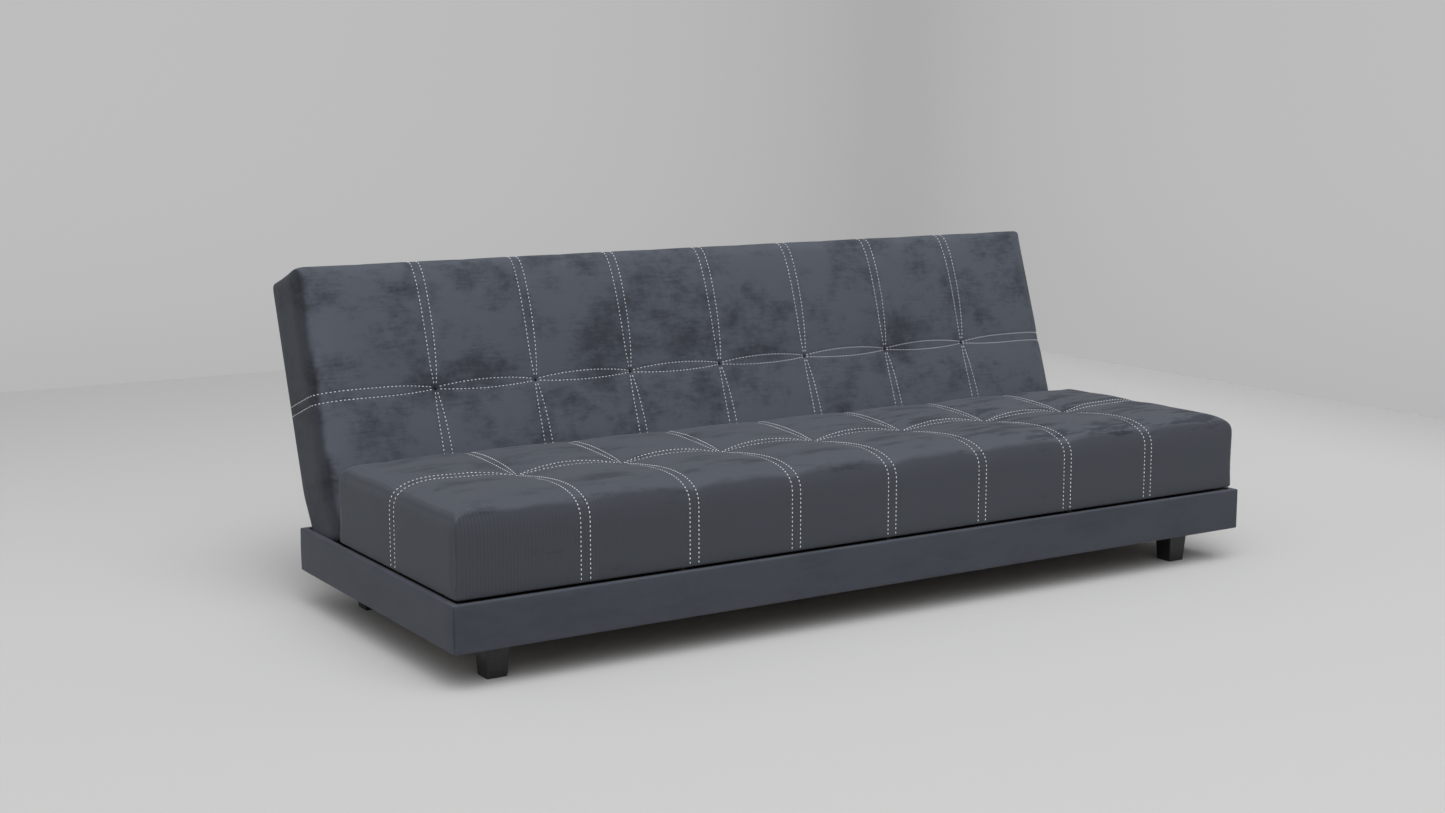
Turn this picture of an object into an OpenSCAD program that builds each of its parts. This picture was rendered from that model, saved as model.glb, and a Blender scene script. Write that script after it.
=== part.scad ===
// Three-seat click-clack sofa bed: a fabric-covered bedding box on four feet, a tufted seat that
// lifts as the lid of the box, and a tufted back that folds down level with the seat.
// X runs along the sofa, Y from front to rear, Z up. The origin is on the floor, at the middle
// of the plan outline. Inside the modules y is measured from the front face of the base.

/* [Base box] */
// Length of the base box
base_w = 2000; // [1700:10:2300]
// Height of the base box, without feet
base_h = 92; // [86:1:120]
// Height of the feet
foot_h = 78; // [40:1:150]
// Front and rear board thickness
board_t = 16; // [12:1:18]
// End board thickness
end_board_t = 12; // [10:1:12]
// Floor board thickness of the bedding box
floor_t = 4; // [3:0.5:8]
// Thickness of the fabric and wadding on the base
cover_t = 2; // [1:0.5:2.5]
// Radius of the base box's upright corners
base_corner_r = 5; // [3:1:12]
// Gap behind the back, in front of the rear board
rear_gap = 11.5; // [8:0.5:30]
// Width of the turned-under edge of the base fabric
hem_w = 25; // [15:1:40]

/* [Feet] */
// Side of a foot at its top
foot_top = 54; // [45:1:70]
// Side of a foot on the floor
foot_bottom = 43; // [30:1:54]
// Foot centre to the end of the base
foot_inset_x = 120; // [118:1:125]
// Foot centre to the front or rear face of the base
foot_inset_y = 93; // [70:1:130]
// Height of the block above each foot
foot_block_h = 28; // [20:1:30]
// Length of the bolt in each foot
foot_bolt_len = 90; // [60:1:95]
// Radius of the foot bolts
foot_bolt_r = 4; // [3:0.5:5]

/* [Seat] */
// Depth of the seat cushion
seat_d = 565; // [500:5:650]
// Height of the seat cushion at its crown
seat_h = 175; // [165:1:220]
// Gap between the base rim and the seat cushion
seat_gap = 5; // [4:0.5:10]
// Seat front face behind the base front face
seat_front_inset = 12; // [5:1:30]
// Seat end inside the base end
seat_end_inset = 10; // [9:1:20]
// Depth of the cross seam below the seat's crown
seat_dip = 17; // [0:1:30]
// Distance of the seat's cross seam from its front face
seat_seam = 288; // [230:1:340]
// Length of the rounded shoulder at the front and rear of the seat
seat_shoulder = 130; // [60:1:150]
// Height of the rounded shoulder of both cushions' seat edges
shoulder_h = 58; // [30:1:80]
// Largest angle that the seat lifts
seat_lift_max = 28; // [10:1:28]

/* [Back] */
// Slope length of the back
back_len = 588; // [540:1:700]
// Thickness of the back at its edges
back_t = 142; // [135:1:170]
// How far the back's crown stands proud of its edges
back_crown = 25; // [10:1:30]
// Tilt of the back from upright
back_tilt = 18.9; // [12:0.1:24]
// Back end inside the base end
back_end_inset = 16; // [15:1:25]
// Back's lower end above the base rim, along the slope
back_foot = 5; // [3:1:12]
// Depth of the cross seam below the back's crown
back_dip = 18; // [0:1:24]
// Distance of the back's cross seam up its slope
back_seam = 303; // [260:1:340]
// Running gap between seat and back
swing_gap = 3.5; // [2:0.5:12]
// Radius of the back's top rear edge
back_rear_r = 10; // [8:1:12]

/* [Padding and frames] */
// Thickness of wadding and fabric round the frames
wall_t = 5; // [4:0.5:6]
// Height of the seat frame rails
seat_rail_h = 37; // [35:1:42]
// Thickness of the seat's front and rear rails
seat_rail_t = 28; // [20:1:40]
// Depth of the back frame rails
back_rail_h = 43; // [40:1:45]
// Width of the back's top and bottom rails
back_rail_w = 45; // [40:1:60]
// Width of the cross rails in both frames
cross_rail_w = 35; // [25:1:50]
// Thickness of the dust cloths
cloth_t = 1.5; // [1:0.1:2]
// Width of a sprung slat
slat_w = 53; // [40:1:60]
// Thickness of a sprung slat
slat_t = 8; // [6:0.5:10]
// Bow of a sprung slat
slat_bow = 8; // [3:0.5:12]
// Distance between slats
slat_pitch = 136; // [110:1:180]
// Wall of a slat's end cap
cap_t = 2; // [1.5:0.5:3]
// Depth of a slat's end cap
cap_len = 26; // [15:1:27]

/* [Fold mechanism] */
// Radius of the spindle that seat and back turn on
spindle_r = 8; // [6:0.5:10]
// Radial running clearance of the spindle and pawl pins
pin_fit = 0.08; // [0.02:0.01:0.1]
// Thickness of the bracket and the arm plates
plate_t = 4; // [3:0.5:4.5]
// Gap between neighbouring plates
plate_gap = 1; // [0.5:0.1:1.2]
// Outer face of the outermost plate to the end of the base
plate_inset = 43; // [42:0.5:50]
// Half the width of the bracket's foot
bracket_half = 46; // [42:1:60]
// Radius of the boss round the spindle
boss_r = 22; // [16:1:24]
// Radius of the ratchet sector
ratchet_r = 38; // [30:1:39]
// Depth of a ratchet notch
notch_depth = 6; // [4:0.5:9]
// Recline angle of the middle, lounging notch
lounge_angle = 25; // [15:1:35]
// Running gap between the pawl's nose and the ratchet
pawl_gap = 0.8; // [0.5:0.1:1.5]
// Radius of the pawl's pin
pawl_pin_r = 5; // [4:0.5:6]
// Radial thickness of the seat arm's swan neck
neck_t = 22; // [14:1:24]
// Radius of the bolts in the arms
arm_bolt_r = 4; // [3:0.5:5]
// Length of the seat arm's bar under the seat
seat_arm_len = 127; // [115:1:160]
// Distance between the bolts of a seat arm
seat_bolt_pitch = 30; // [25:1:38]
// Length of the back arm's strap above the spindle
back_arm_len = 235; // [200:5:290]
// Distance between the bolts of a back arm
back_bolt_pitch = 45; // [30:1:55]
// Half the width of the back arm's strap
strap_half = 15; // [10:0.5:17]
// Width of the runner board under each bracket
runner_w = 43; // [30:1:60]
// Height of the runner board under each bracket
runner_h = 31; // [25:1:33]
// Thickness of the ledgers that carry the seat
ledger_t = 24; // [18:1:26]
// Height of the ledgers
ledger_h = 40; // [25:1:60]
// Radius of the rubber pads
pad_r = 9; // [6:0.5:11]

/* [Hidden] */

$fn = 64;
fabric = "#565b63";
lining = "#2b2c2e";
timber = "#d8b98c";
beech = "#e2c79c";
fibreboard = "#9c7b52";
steel = "#8d9298";
black_steel = "#2f3134";
rubber = "#1d1d1d";
lacquer = "#222224";

left = -1;
right = 1;
sides = [left, right];
seat_clear = 0.3;  // a pad's or soft solid's clearance from what it rests on
bolt_fit = 0.2;    // radial clearance of bolts and screws
edge_power = 2.5;  // roundness of the cushions' shoulders
steps = 10;        // points on each rounded shoulder

// Heights
base_top = foot_h + base_h;
boards_bottom = foot_h + cover_t;
boards_top = base_top - cover_t;
floor_top = boards_bottom + floor_t;
seat_bottom = base_top + seat_gap;
seat_top = seat_bottom + seat_h;
seat_front = seat_front_inset;
seat_rear = seat_front + seat_d;
seat_half_w = base_w / 2 - seat_end_inset;
back_half_w = base_w / 2 - back_end_inset;

// Spindle: halfway through the back, and as high as it must be for the two crowns to lie level
spindle_depth = back_t / 2;
spindle_z = seat_top - back_crown - spindle_depth;
spindle_up = (spindle_z - base_top + spindle_depth * sin(back_tilt)) / cos(back_tilt);

// The back's outline as [depth behind its front edge plane, distance up its slope]
heel_len = 145;   // length of the lower shoulder up the slope
heel_set = 30;    // how far behind the edge plane the lower shoulder starts
crest_len = 140;  // length of the upper shoulder
crest_set = 12;   // how far behind the edge plane the upper shoulder starts
heel_curve = [for (i = [0:steps]) let (a = 90 * i / steps)
    [heel_set - (heel_set + back_crown) * pow(sin(a), 2 / edge_power),
     back_foot + heel_len - heel_len * pow(cos(a), 2 / edge_power)]];
crest_curve = [for (i = [0:steps]) let (a = 90 - 90 * i / steps)
    [crest_set - (crest_set + back_crown) * pow(sin(a), 2 / edge_power),
     back_len - crest_len + crest_len * pow(cos(a), 2 / edge_power)]];
heel_reach = max([for (p = heel_curve) norm(p - [spindle_depth, spindle_up])]);

// The seat's rear face clears the back's heel as it swings, and so sets the spindle's place
spindle_y = seat_rear + swing_gap + heel_reach;
back_y = spindle_y - spindle_up * sin(back_tilt) - spindle_depth * cos(back_tilt);
base_d = back_y + back_t / cos(back_tilt) + rear_gap + board_t + cover_t;
back_reach = back_y + (back_len - back_rear_r) * sin(back_tilt)
    + (back_t - back_rear_r) * cos(back_tilt) + back_rear_r;
sofa_d = max(base_d, back_reach);
recline_max = 90 - back_tilt;

// Plates of the mechanism, as distances from the middle of the sofa
back_arm_x = base_w / 2 - plate_inset - plate_t;
seat_arm_x = back_arm_x - plate_gap - plate_t;
bracket_x = seat_arm_x - plate_gap - plate_t;
plates_end = back_arm_x + plate_t;
nut_t = 5;
head_r = 11;
head_t = 4.5;
pocket_x = bracket_x - nut_t - 8;
pocket_end = plates_end + head_t + 1.5;
pocket_depth = spindle_depth - ratchet_r - 4;

// Padding cavities
seat_frame_bottom = seat_bottom + cloth_t;
seat_frame_top = seat_frame_bottom + seat_rail_h;
slat_room = slat_t + slat_bow + 2 * seat_clear;
back_frame_front = back_t - cloth_t - back_rail_h;
back_foam_depth = back_frame_front - slat_room;
seat_rail_y = seat_rear - wall_t - seat_rail_t;

// Swan neck of the seat arm, round the spindle outside the back's heel
neck_inner = heel_reach + 2;
neck_outer = neck_inner + neck_t;
neck_low = seat_frame_bottom + 4;
neck_high = neck_low + neck_t + 8;
arm_front = seat_rear - seat_arm_len;
crank_low = 43;   // spindle to the crank's first bend
crank_high = 85;  // spindle to the crank's second bend
pawl_pin_y = 37.5;
pawl_pin_z = -40;
nose_angle = -85;
nose_w = 6;

function shoulder(cx, cz, rx, rz, from, to) = [for (i = [0:steps])
    let (a = from + (to - from) * i / steps)
    [cx + rx * sign(cos(a)) * pow(abs(cos(a)), 2 / edge_power),
     cz + rz * pow(abs(sin(a)), 2 / edge_power)]];
function arc(cx, cy, r, from, to) = let (n = 8) [for (i = [0:n])
    let (a = from + (to - from) * i / n) [cx + r * cos(a), cy + r * sin(a)]];
// Height left by a cross seam's dip, spread over reach to both sides of the seam
function dip_at(t, seam, dip, reach) = dip * pow(max(0, 1 - abs(t - seam) / reach), 2);

// Stands the sofa with its plan outline centred on the origin
module from_front() {
    translate([0, -sofa_d / 2, 0]) children();
}

// The back's own frame: y behind its front edge plane, z up its slope
module in_back() {
    translate([0, back_y, base_top]) rotate([-back_tilt, 0, 0]) children();
}

// Extrudes a side outline, drawn as [y, z], along X from x to x + t
module side_form(x, t) {
    translate([x, 0, 0]) rotate([90, 0, 90]) linear_extrude(t) children();
}

// The same at one end of the sofa, with x measured outwards from the middle
module end_form(side, x, t) {
    side_form(side > 0 ? x : -x - t, t) children();
}

module end_pin(side, x, len, r) {
    end_form(side, x, len) circle(r);
}

module at_spindle() {
    translate([0, spindle_y, spindle_z]) children();
}

// ---- Base box ----

module ring(outer_inset_x, outer_inset_y, inner_inset_x, inner_inset_y, corner) {
    difference() {
        plan(outer_inset_x, outer_inset_y, corner);
        translate([inner_inset_x - base_w / 2, inner_inset_y])
            square([base_w - 2 * inner_inset_x, base_d - 2 * inner_inset_y]);
    }
}

module plan(inset_x, inset_y, corner) {
    x = base_w / 2 - inset_x;
    union() {
        translate([-x + corner, inset_y]) square([2 * (x - corner), base_d - 2 * inset_y]);
        translate([-x, inset_y + corner]) square([2 * x, base_d - 2 * (inset_y + corner)]);
        for (s = sides, y = [inset_y + corner, base_d - inset_y - corner])
            translate([s * (x - corner), y]) circle(corner);
    }
}

module base_cover() {
    color(fabric) from_front() union() {
        translate([0, 0, foot_h]) linear_extrude(cover_t) difference() {
            ring(0, 0, end_inner + hem_w, board_inner + hem_w, base_corner_r);
            for (s = sides, y = [foot_inset_y, base_d - foot_inset_y])
                translate([s * (base_w / 2 - foot_inset_x), y])
                    square(foot_top + 2 * seat_clear, center = true);
        }
        translate([0, 0, boards_bottom]) linear_extrude(boards_top - boards_bottom)
            ring(0, 0, cover_t, cover_t, base_corner_r);
        translate([0, 0, boards_top]) linear_extrude(cover_t)
            ring(0, 0, end_inner, board_inner, base_corner_r);
    }
}

board_inner = cover_t + board_t;
end_inner = cover_t + end_board_t;
board_h = boards_top - boards_bottom;

module long_board(y) {
    translate([cover_t - base_w / 2, y, boards_bottom])
        cube([base_w - 2 * cover_t, board_t, board_h]);
}

module base_front_board() { color(timber) from_front() long_board(cover_t); }
module base_rear_board() { color(timber) from_front() long_board(base_d - board_inner); }

module end_board(side) {
    x = base_w / 2 - end_inner;
    translate([side > 0 ? x : -x - end_board_t, board_inner, boards_bottom])
        cube([end_board_t, base_d - 2 * board_inner, board_h]);
}

module base_left_board() { color(timber) from_front() end_board(left); }
module base_right_board() { color(timber) from_front() end_board(right); }

module base_floor_board() {
    x = base_w / 2 - end_inner;
    color(fibreboard) from_front() difference() {
        translate([-x, board_inner, boards_bottom])
            cube([2 * x, base_d - 2 * board_inner, floor_t]);
        at_feet() translate([0, 0, boards_bottom - 1])
            cylinder(r = foot_bolt_r + bolt_fit, h = floor_t + 2);
    }
}

// Battens along the front and both ends, which carry the closed seat
module seat_ledgers() {
    x = base_w / 2 - end_inner;
    color(timber) from_front() union() {
        translate([-x + ledger_t, board_inner, boards_top - ledger_h])
            cube([2 * (x - ledger_t), ledger_t, ledger_h]);
        for (s = sides)
            translate([s > 0 ? x - ledger_t : -x, board_inner, boards_top - ledger_h])
                cube([ledger_t, seat_rear - board_inner - ledger_t, ledger_h]);
    }
}

module runner(side) {
    x = bracket_x - runner_w;
    difference() {
        translate([side > 0 ? x : -bracket_x, board_inner, floor_top])
            cube([runner_w, base_d - 2 * board_inner, runner_h]);
        at_bracket_screws() end_pin(side, bracket_x - screw_len, screw_len + 1, screw_r + bolt_fit);
    }
}

module left_runner() { color(timber) from_front() runner(left); }
module right_runner() { color(timber) from_front() runner(right); }

module at_feet() {
    for (s = sides, y = [foot_inset_y, base_d - foot_inset_y])
        translate([s * (base_w / 2 - foot_inset_x), y, 0]) children();
}

block_spare = 10;  // block beyond the foot, front and rear
module foot_blocks() {
    block_half = bracket_x - runner_w - (base_w / 2 - foot_inset_x);
    color(timber) from_front() difference() {
        at_feet() translate([-block_half, -foot_top / 2 - block_spare, floor_top])
            cube([2 * block_half, foot_top + 2 * block_spare, foot_block_h]);
        at_feet() translate([0, 0, floor_top - 1])
            cylinder(r = foot_bolt_r + bolt_fit, h = foot_block_h + 2);
    }
}

// A square foot that tapers to the floor, drilled for its bolt
module foot(side, y) {
    r = 3;
    translate([side * (base_w / 2 - foot_inset_x), y, 0]) difference() {
        hull() {
            linear_extrude(0.5) rounded_square(foot_bottom, r);
            translate([0, 0, boards_bottom - 0.5]) linear_extrude(0.5) rounded_square(foot_top, r);
        }
        translate([0, 0, bolt_bottom - 1])
            cylinder(r = foot_bolt_r + bolt_fit, h = boards_bottom);
    }
}

module rounded_square(w, r) {
    offset(r = r, $fn = 16) square(w - 2 * r, center = true);
}

bolt_bottom = floor_top + foot_block_h - foot_bolt_len;
rear_foot_y = base_d - foot_inset_y;
module front_left_foot() { color(lacquer) from_front() foot(left, foot_inset_y); }
module front_right_foot() { color(lacquer) from_front() foot(right, foot_inset_y); }
module rear_left_foot() { color(lacquer) from_front() foot(left, rear_foot_y); }
module rear_right_foot() { color(lacquer) from_front() foot(right, rear_foot_y); }

module foot_bolts() {
    color(steel) from_front() at_feet() translate([0, 0, bolt_bottom])
        cylinder(r = foot_bolt_r, h = foot_bolt_len);
}

// Rubber pads on the ledgers, under the seat's frame
pad_inset = 52;  // first and last pad to the ledger's ends
module seat_pads() {
    x = base_w / 2 - end_inner - ledger_t / 2;
    rows = [board_inner + pad_inset, (board_inner + seat_rear) / 2, seat_rear - pad_inset];
    color(rubber) from_front() union() {
        for (s = sides, y = rows) translate([s * x, y, boards_top]) pad(seat_pad_h);
        for (i = [-1:1]) translate([i * base_w / 4, board_inner + ledger_t / 2, boards_top])
            pad(seat_pad_h);
    }
}

seat_pad_h = seat_bottom - boards_top - seat_clear;
back_pad_h = spindle_z - (back_t - spindle_depth) - base_top - seat_clear;
module pad(h) {
    cylinder(r = pad_r, h = h);
}

// Rubber pads on the rear rim, under the folded-down back
back_pad_pitch = base_w / 4.4;
module back_pads() {
    color(rubber) from_front() for (i = [-1.5:1.5])
        translate([i * back_pad_pitch, base_d - pad_r - cover_t, base_top])
            cylinder(r1 = pad_r, r2 = pad_r - 2, h = back_pad_h);
}

// ---- Fold mechanism, on the base ----

screw_r = 3;
screw_head_r = 5.2;
screw_len = 25;
screw_pitch = 30;
screw_rows = [-screw_pitch, 0, screw_pitch];
screw_z = floor_top + runner_h / 2;
module at_bracket_screws() {
    for (y = screw_rows) translate([0, spindle_y + y, screw_z]) children();
}

// Upright steel bracket: spindle boss, pawl boss and a wide foot on the runner
module bracket(side) {
    foot_low = floor_top + 2;
    foot_high = floor_top + runner_h + 6;
    difference() {
        end_form(side, bracket_x, plate_t) union() {
            translate([spindle_y, spindle_z]) circle(boss_r);
            translate([spindle_y + pawl_pin_y, spindle_z + pawl_pin_z]) circle(12);
            polygon([
                [spindle_y - boss_r, spindle_z], [spindle_y - boss_r - 4, base_top - 20],
                [spindle_y - bracket_half, foot_high], [spindle_y - bracket_half, foot_low],
                [spindle_y + bracket_half, foot_low], [spindle_y + bracket_half, foot_high],
                [spindle_y + pawl_pin_y + 11, spindle_z + pawl_pin_z - 5],
                [spindle_y + pawl_pin_y + 7, spindle_z + pawl_pin_z + 9.7],
                [spindle_y + 17, spindle_z + 14]
            ]);
        }
        at_spindle() end_pin(side, bracket_x - 1, plate_t + 2, spindle_r + pin_fit);
        at_pawl() end_pin(side, bracket_x - 1, plate_t + 2, pawl_pin_r + pin_fit);
        at_bracket_screws() {
            end_pin(side, bracket_x - 1, plate_t + 2, screw_r + bolt_fit);
            end_pin(side, bracket_x + plate_t - 2, 3, screw_head_r + bolt_fit);
        }
    }
}

module left_bracket() { color(steel) from_front() bracket(left); }
module right_bracket() { color(steel) from_front() bracket(right); }

module bracket_screws() {
    color(steel) from_front() for (s = sides) at_bracket_screws() union() {
        end_pin(s, bracket_x - screw_len, screw_len + plate_t - 1, screw_r);
        end_pin(s, bracket_x + plate_t - 2, 1.8, screw_head_r);
    }
}

// Headed spindle through bracket, seat arm and back arm, with a hexagon nut inside
module spindle(side) {
    at_spindle() union() {
        end_pin(side, bracket_x - nut_t - 2, plates_end - bracket_x + nut_t + 3, spindle_r);
        end_form(side, bracket_x - nut_t, nut_t) circle(head_r + 1, $fn = 6);
        end_pin(side, plates_end + pin_fit, head_t, head_r);
    }
}

module left_spindle() { color(steel) from_front() spindle(left); }
module right_spindle() { color(steel) from_front() spindle(right); }

module spindle_washers() {
    color(rubber) from_front() at_spindle() for (s = sides, x = [bracket_x, seat_arm_x])
        end_form(s, x + plate_t + pin_fit, plate_gap - 2 * pin_fit) difference() {
            circle(spindle_r + 6);
            circle(spindle_r + pin_fit);
        }
}

module at_pawl() {
    translate([0, spindle_y + pawl_pin_y, spindle_z + pawl_pin_z]) children();
}

pawl_x = back_arm_x + 0.3;
pawl_t = plate_t - 0.6;
module pawl_pins() {
    color(steel) from_front() at_pawl() for (s = sides) union() {
        end_pin(s, bracket_x - 3, plates_end - bracket_x + 2.8, pawl_pin_r);
        end_pin(s, bracket_x + plate_t, pawl_x - bracket_x - plate_t - 0.1, pawl_pin_r + 2.5);
        end_pin(s, bracket_x - 4, 4, pawl_pin_r + 2);
    }
}

// Pawl: a short lever whose nose drops into the notches of the ratchet
module pawl(side) {
    out = [cos(nose_angle), sin(nose_angle)];
    across = [-out[1], out[0]];
    tip = ratchet_r + pawl_gap;
    pin = [pawl_pin_y, pawl_pin_z];
    difference() {
        at_spindle() end_form(side, pawl_x, pawl_t) union() {
            translate(pin) circle(9);
            polygon([
                out * (tip + 8) - across * 4.5, out * (tip + 14) - across * 4.5,
                out * (tip + 17) + across * 3, pin + [-2, -8.7], pin + [-2, 8.7],
                out * (tip + 8) + across * 4.5, out * tip + across * nose_w / 2,
                out * tip - across * nose_w / 2
            ]);
        }
        at_pawl() end_pin(side, pawl_x - 1, pawl_t + 2, pawl_pin_r + pin_fit);
    }
}

module left_pawl() { color(black_steel) from_front() pawl(left); }
module right_pawl() { color(black_steel) from_front() pawl(right); }

// ---- Seat ----

seat_cavity_x = seat_half_w - wall_t;
seat_rail_x = seat_arm_x + plate_t;

module seat_end_rail(side) {
    t = seat_cavity_x - seat_rail_x;
    difference() {
        translate([side > 0 ? seat_rail_x : -seat_cavity_x, seat_front + wall_t, seat_frame_bottom])
            cube([t, seat_d - 2 * wall_t, seat_rail_h]);
        at_seat_bolts() end_pin(side, seat_rail_x - 1, arm_bolt_len + 1, arm_bolt_r + bolt_fit);
    }
}

module seat_left_rail() { color(timber) from_front() seat_end_rail(left); }
module seat_right_rail() { color(timber) from_front() seat_end_rail(right); }

module seat_front_rail() {
    color(timber) from_front()
        translate([-seat_rail_x, seat_front + wall_t, seat_frame_bottom])
            cube([2 * seat_rail_x, seat_rail_t, seat_rail_h]);
}

module seat_rear_rail() {
    color(timber) from_front()
        translate([-seat_arm_x, seat_rail_y, seat_frame_bottom])
            cube([2 * seat_arm_x, seat_rail_t, seat_rail_h]);
}

cross_rail_at = base_w / 6.25;
module seat_cross_rails() {
    y = seat_front + wall_t + seat_rail_t;
    color(timber) from_front() for (s = sides)
        translate([s * cross_rail_at - cross_rail_w / 2, y, seat_frame_bottom])
            cube([cross_rail_w, seat_rail_y - y, seat_rail_h - 12]);
}

// Half the number of slats that fit between the ends of a frame
slat_half_count = floor((bracket_x - 2 * runner_w) / slat_pitch - 0.5);
slat_places = [for (i = [-slat_half_count:slat_half_count + 1]) (i - 0.5) * slat_pitch];

// Bowed slat outline as [distance, height], from end to end of span
module bowed_slat(span) {
    n = 12;
    low = [for (i = [0:n]) [span * i / n, slat_bow * sin(180 * i / n)]];
    high = [for (i = [n:-1:0]) [span * i / n, slat_t + slat_bow * sin(180 * i / n)]];
    polygon(concat(low, high));
}

slat_seat = 3;  // rail left outside a slat's end cap
seat_slat_span = seat_d - 2 * wall_t - 2 * (slat_seat + cap_t);
module seat_slats() {
    color(beech) from_front() for (x = slat_places)
        translate([0, seat_front + wall_t + slat_seat + cap_t, seat_frame_top])
            side_form(x - slat_w / 2, slat_w) bowed_slat(seat_slat_span);
}

// Moulded cap that holds a slat's end on its rail; open towards +Y
module slat_cap() {
    w = slat_w + 2 * cap_t;
    rise = slat_bow * sin(180 * cap_len / seat_slat_span);
    difference() {
        translate([-w / 2, 0, 0]) cube([w, cap_len, slat_t + rise]);
        translate([-slat_w / 2 - seat_clear / 3, cap_t, -1])
            cube([slat_w + seat_clear * 2 / 3, cap_len, slat_t + rise + 2]);
    }
}

module seat_slat_caps() {
    low = seat_front + wall_t + slat_seat;
    high = seat_rear - wall_t - slat_seat;
    color(rubber) from_front() for (x = slat_places) union() {
        translate([x, low, seat_frame_top]) slat_cap();
        translate([x, high, seat_frame_top]) mirror([0, 1, 0]) slat_cap();
    }
}

arm_bolt_len = 22;
arm_bolt_head_t = 4;
module at_seat_bolts() {
    for (i = [0:2])
        translate([0, arm_front + (i + 0.5) * seat_bolt_pitch, (neck_low + neck_high) / 2])
            children();
}

// Swan-necked seat arm: boss, spoke, an arc that passes outside the back's heel, and a bar
// along the inside of the seat's end rail
module seat_arm(side) {
    bar_end = seat_rear + 2;
    neck_end = -180 + asin((spindle_z - neck_high + neck_t / 2) / neck_outer);
    pivot = [spindle_y, spindle_z];
    difference() {
        end_form(side, seat_arm_x, plate_t) union() {
            translate(pivot) circle(boss_r);
            polygon([
                pivot + [-neck_t / 2, -neck_inner - neck_t / 3],
                pivot + [neck_t / 2, -neck_inner - neck_t / 3],
                pivot + [boss_r - 8, 0], pivot + [-boss_r + 8, 0]
            ]);
            polygon(concat(
                arc(spindle_y, spindle_z, neck_outer, neck_end, -90),
                [pivot + [neck_t / 2, -neck_outer + 3], pivot + [neck_t / 2, -neck_inner]],
                arc(spindle_y, spindle_z, neck_inner, -90, neck_end)
            ));
            translate([arm_front, neck_low]) square([bar_end - arm_front, neck_high - neck_low]);
        }
        at_spindle() end_pin(side, seat_arm_x - 1, plate_t + 2, spindle_r + pin_fit);
        at_seat_bolts() end_pin(side, seat_arm_x - 1, plate_t + 2, arm_bolt_r + bolt_fit);
    }
}

module seat_left_arm() { color(black_steel) from_front() seat_arm(left); }
module seat_right_arm() { color(black_steel) from_front() seat_arm(right); }

module seat_arm_bolts() {
    color(steel) from_front() for (s = sides) at_seat_bolts() union() {
        end_pin(s, seat_arm_x, plate_t + arm_bolt_len - 1, arm_bolt_r);
        end_pin(s, seat_arm_x - arm_bolt_head_t, arm_bolt_head_t, arm_bolt_r + 3);
    }
}

seat_edge_r = 10;  // rounding of the seat's lower edges, clear of the frame inside
// Side outline of the seat: two crowned rolls with the cross seam between them
module seat_outline() {
    r = seat_edge_r;
    seam = seat_front + seat_seam;
    first = seat_front + seat_shoulder;
    last = seat_rear - seat_shoulder;
    valley = [for (i = [1:11]) let (y = first + (last - first) * i / 12)
        [y, seat_top - dip_at(y, seam, seat_dip, seat_shoulder)]];
    polygon(concat(
        arc(seat_front + r, seat_bottom + r, r, 270, 180),
        shoulder(first, seat_top - shoulder_h, seat_shoulder, shoulder_h, 180, 90),
        valley,
        shoulder(last, seat_top - shoulder_h, seat_shoulder, shoulder_h, 90, 0),
        arc(seat_rear - r, seat_bottom + r, r, 0, -90)
    ));
}

// End outline of a cushion, as [x, z], from low to high
module end_outline(half_w, low, high, shoulder_w, rise) {
    polygon(concat(
        [[half_w, low], [-half_w, low]],
        shoulder(shoulder_w - half_w, high - rise, shoulder_w, rise, 180, 90),
        shoulder(half_w - shoulder_w, high - rise, shoulder_w, rise, 90, 0)
    ));
}

end_shoulder_w = 140;
module seat_cushion() {
    color(fabric) from_front() difference() {
        intersection() {
            side_form(-seat_half_w, 2 * seat_half_w) seat_outline();
            translate([0, seat_rear + 1, 0]) rotate([90, 0, 0]) linear_extrude(seat_d + 2)
                end_outline(seat_half_w, seat_bottom, seat_top, end_shoulder_w, shoulder_h);
        }
        translate([-seat_cavity_x, seat_front + wall_t, seat_bottom - 1])
            cube([2 * seat_cavity_x, seat_d - 2 * wall_t, seat_frame_top + slat_room - seat_bottom + 1]);
        for (s = sides) end_form(s, seat_arm_x - 2, plate_t + 4)
            translate([seat_rear - wall_t - 1, seat_bottom - 1])
                square([wall_t + 2, neck_high + 3 - seat_bottom]);
    }
}

module seat_dust_cloth() {
    color(lining) from_front()
        translate([-seat_cavity_x, seat_front + wall_t, seat_bottom])
            cube([2 * seat_cavity_x, seat_d - 2 * wall_t, cloth_t]);
}

// ---- Back ----

back_cavity_x = back_half_w - wall_t;
frame_low = back_foot + wall_t;
frame_high = back_len - wall_t;
pocket_high = spindle_up + crank_high + strap_half;

module back_end_rail(side) {
    t = back_cavity_x - plates_end;
    in_back() difference() {
        translate([side > 0 ? plates_end : -back_cavity_x, back_frame_front, frame_low])
            cube([t, back_rail_h, frame_high - frame_low]);
        at_back_bolts() end_pin(side, plates_end - 1, arm_bolt_len - 2, arm_bolt_r + bolt_fit);
    }
}

module back_left_rail() { color(timber) from_front() back_end_rail(left); }
module back_right_rail() { color(timber) from_front() back_end_rail(right); }

module back_top_rail() {
    color(timber) from_front() in_back()
        translate([-plates_end, back_frame_front, frame_high - back_rail_w])
            cube([2 * plates_end, back_rail_h, back_rail_w]);
}

bottom_rail_x = pocket_x - 8;
module back_bottom_rail() {
    color(timber) from_front() in_back()
        translate([-bottom_rail_x, back_frame_front, frame_low])
            cube([2 * bottom_rail_x, back_rail_h, back_rail_w]);
}

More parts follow.
